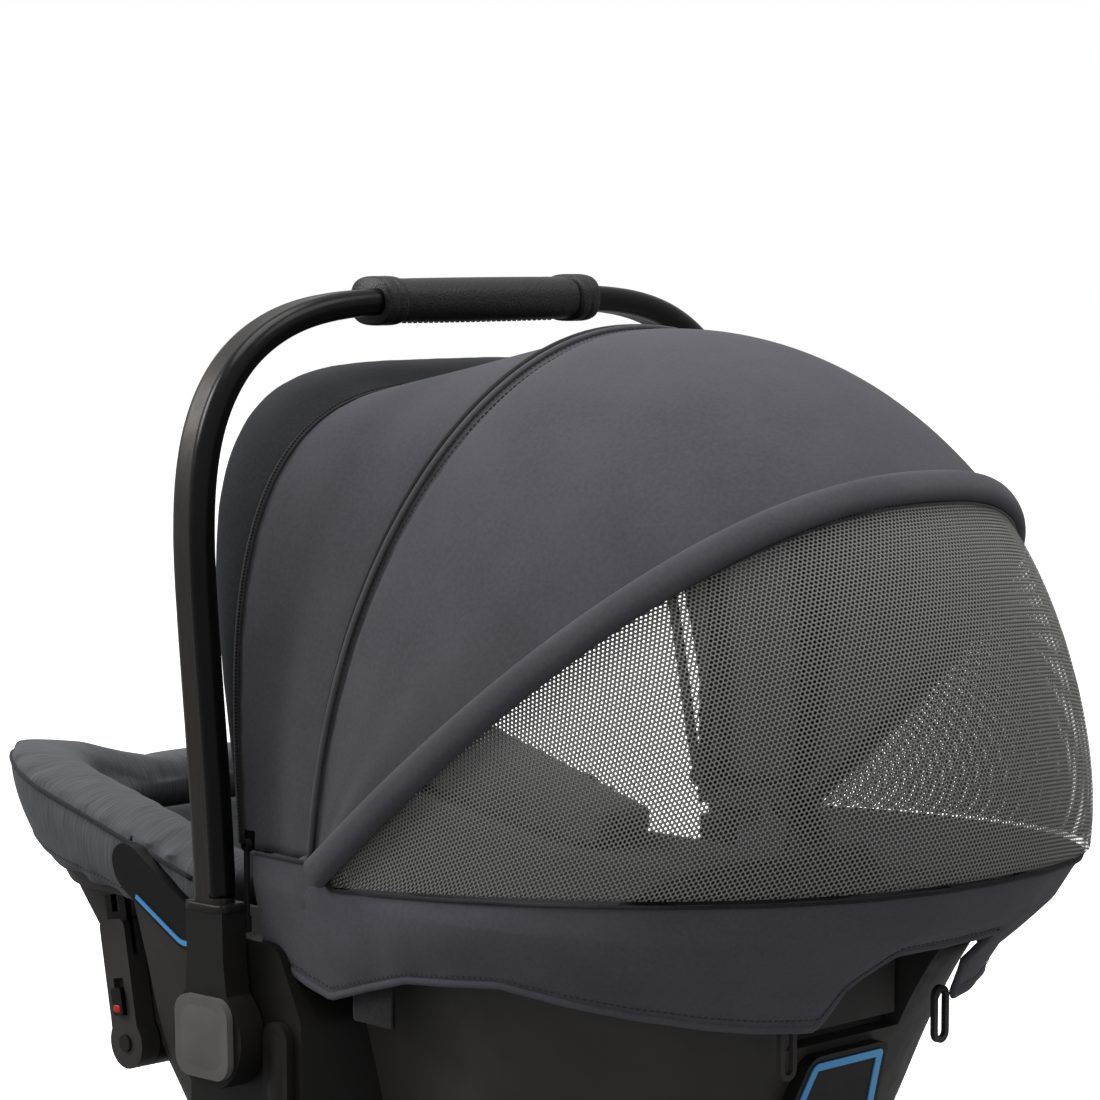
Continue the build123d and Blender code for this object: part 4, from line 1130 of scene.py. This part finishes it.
def makeGrip():
    low, high = (np.array(c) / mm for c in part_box("grip_sleeve"))
    centre = ((low[1] + high[1]) / 2, (low[2] + high[2]) / 2)
    depth, height = high[1] - low[1], high[2] - low[2]
    x = np.linspace(low[0], high[0], 90)
    creases = 0.006 * np.sin(x * 0.55) * np.exp(-((np.abs(x) - 60) / 12) ** 2)
    girth = 1 + 0.025 * (1 - (x / high[0]) ** 2) + creases
    grip = sleeve("gripLeather", x, girth, centre, depth, height, 2.5, "leather")
    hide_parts("grip_sleeve")
    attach(grip, "handle")
    bandLow, bandHigh = (np.array(c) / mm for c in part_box("grip_bands"))
    width = bandHigh[0] - high[0]
    pieces = []
    for s in (-1, 1):
        t = np.linspace(0, 1, 22)
        rounded = 0.93 + 0.075 * np.clip(1 - np.abs(2 * t - 1) ** 5, 0, 1) ** 0.5
        middle = 0.035 * np.exp(-((t - 0.5) / 0.06) ** 2)
        pieces.append(sleeve(f"band{s}", s * (high[0] + 0.2 + t * (width - 0.2)), rounded - middle, centre,
                             bandHigh[1] - bandLow[1], bandHigh[2] - bandLow[2], 2.6, "leather"))
    bands = joinPieces("gripBands", pieces)
    bands.data.polygons.foreach_set("use_smooth", np.ones(len(bands.data.polygons), bool))
    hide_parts("grip_bands")
    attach(bands, "handle")
    under = np.stack([x[4:-4], np.full(82, centre[0]), centre[1] - height / 2 * girth[4:-4]], -1) * mm
    seam = stitches("gripStitches", under, (0, 0, -1), 0.2 * mm, 4 * mm, (3 * mm, 0.9 * mm), looks["thread"])
    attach(seam, "handle")


def domedPlate(name, centre, u, v, n, halfU, halfV, power, rise, depth, look, around=72, rings=12):
    # superellipse plate, crowned towards n, with a flat back
    a = np.linspace(0, 2 * pi, around, endpoint=False)[:, None]
    rho = np.linspace(0.02, 1, rings)[None, :]
    across, up = superellipse(a, power)
    crown = rise * (1 - rho ** 2.2) + 0 * a
    u, v, n = (np.asarray(w, float) for w in (u, v, n))
    face = (np.asarray(centre, float) + u * (halfU * rho * across)[..., None]
            + v * (halfV * rho * up)[..., None] + n * crown[..., None])
    edge = face[:, -1] - n * depth
    grid = np.concatenate([face, edge[:, None]], axis=1)
    count = rings + 1
    faces = gridFaces(around, count, closeRows=True).tolist()
    faces.append([i * count for i in range(around)])
    faces.append([i * count + count - 1 for i in range(around)])
    return faceOutwards(addObject(name, toFrame(grid), faces, looks[look]))


def makeHubDetails():
    # crowned face on each badge and on each release paddle
    faces = []
    for s, side in ((1, "left"), (-1, "right")):
        low, high = (np.array(c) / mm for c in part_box(f"hub_badge_{side}"))
        x = high[0] if s > 0 else low[0]
        middle = (x - s * 0.4, (low[1] + high[1]) / 2 - hubY, (low[2] + high[2]) / 2)
        faces.append(domedPlate("face", middle, (0, 1, 0), (0, 0, 1), (s, 0, 0),
                                19.6, 19, 4.2, 1.6, 0.5, "badge"))
        low, high = (np.array(c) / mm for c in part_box(f"handle_release_{side}"))
        x = high[0] if s > 0 else low[0]
        y, z = (low[1] + high[1]) / 2 - hubY, (low[2] + high[2]) / 2
        plate = domedPlate(f"paddleFace{side.capitalize()}", (x - s * 0.3, y, z), (0, 1, 0), (0, 0, 1),
                           (s, 0, 0), (high[1] - low[1]) / 2 - 3, (high[2] - low[2]) / 2 - 3,
                           2.8, 1.2, 0.5, "leg")
        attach(plate, f"handle_release_{side}")
    face = joinPieces("badgeFaces", faces)
    face.data.polygons.foreach_set("use_smooth", np.ones(len(face.data.polygons), bool))
    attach(face, "handle")


def makeLatchMarks():
    # small red tell-tale let into each latch button
    for s, side in ((1, "left"), (-1, "right")):
        low, high = (np.array(c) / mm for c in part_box(f"latch_button_{side}"))
        x = high[0] if s > 0 else low[0]
        y, z = low[1] * 0.5 + high[1] * 0.5 - hubY, low[2] * 0.75 + high[2] * 0.25
        mark = domedPlate(f"latchMark{side.capitalize()}", (x + s * 0.1, y, z), (0, 1, 0), (0, 0, 1),
                          (s, 0, 0), 3.2, 2.2, 4, 0.5, 0.5, "red", 32, 6)
        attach(mark, f"latch_button_{side}")


makeHandleTrim()
makeGrip()
makeHubDetails()
makeLatchMarks()


print("trim")


def makeTags():
    # folded label loops that hang below the hem on both sides
    low, high = (np.array(c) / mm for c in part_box("tag_loops"))
    x = high[0] - 1.0
    y0, y1 = low[1] - hubY, high[1] - hubY
    loops = []
    t = np.linspace(0, 1, 60)
    drop = high[2] - low[2]
    out = 1.5 * np.sin(pi * t)
    z = np.where(t < 0.5, high[2] - drop * 2 * t, low[2] + drop * (2 * t - 1))
    fold = 1.3 * (1 - smoothStep(np.minimum(t, 1 - t) * 2, 0.0, 0.8)) * 0.4
    gap = np.where(t < 0.5, 1.0, -1.0) * (1.0 + out * 0.25 - fold) * (1 - np.exp(-((t - 0.5) / 0.03) ** 2))
    for s in (-1, 1):
        path = np.stack([s * (x + gap), np.full(60, (y0 + y1) / 2), z], -1)
        loops.append(sweep("tag", toFrame(smoothPath(path, 3)), np.broadcast_to((0, 1, 0), (60, 3)),
                              roundProfile(1.0 * mm, (y1 - y0) * mm, 8, 24), looks["piping"]))
    tags = joinPieces("labelLoops", loops)
    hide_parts("tag_loops")
    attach(tags, "seat")


makeTags()
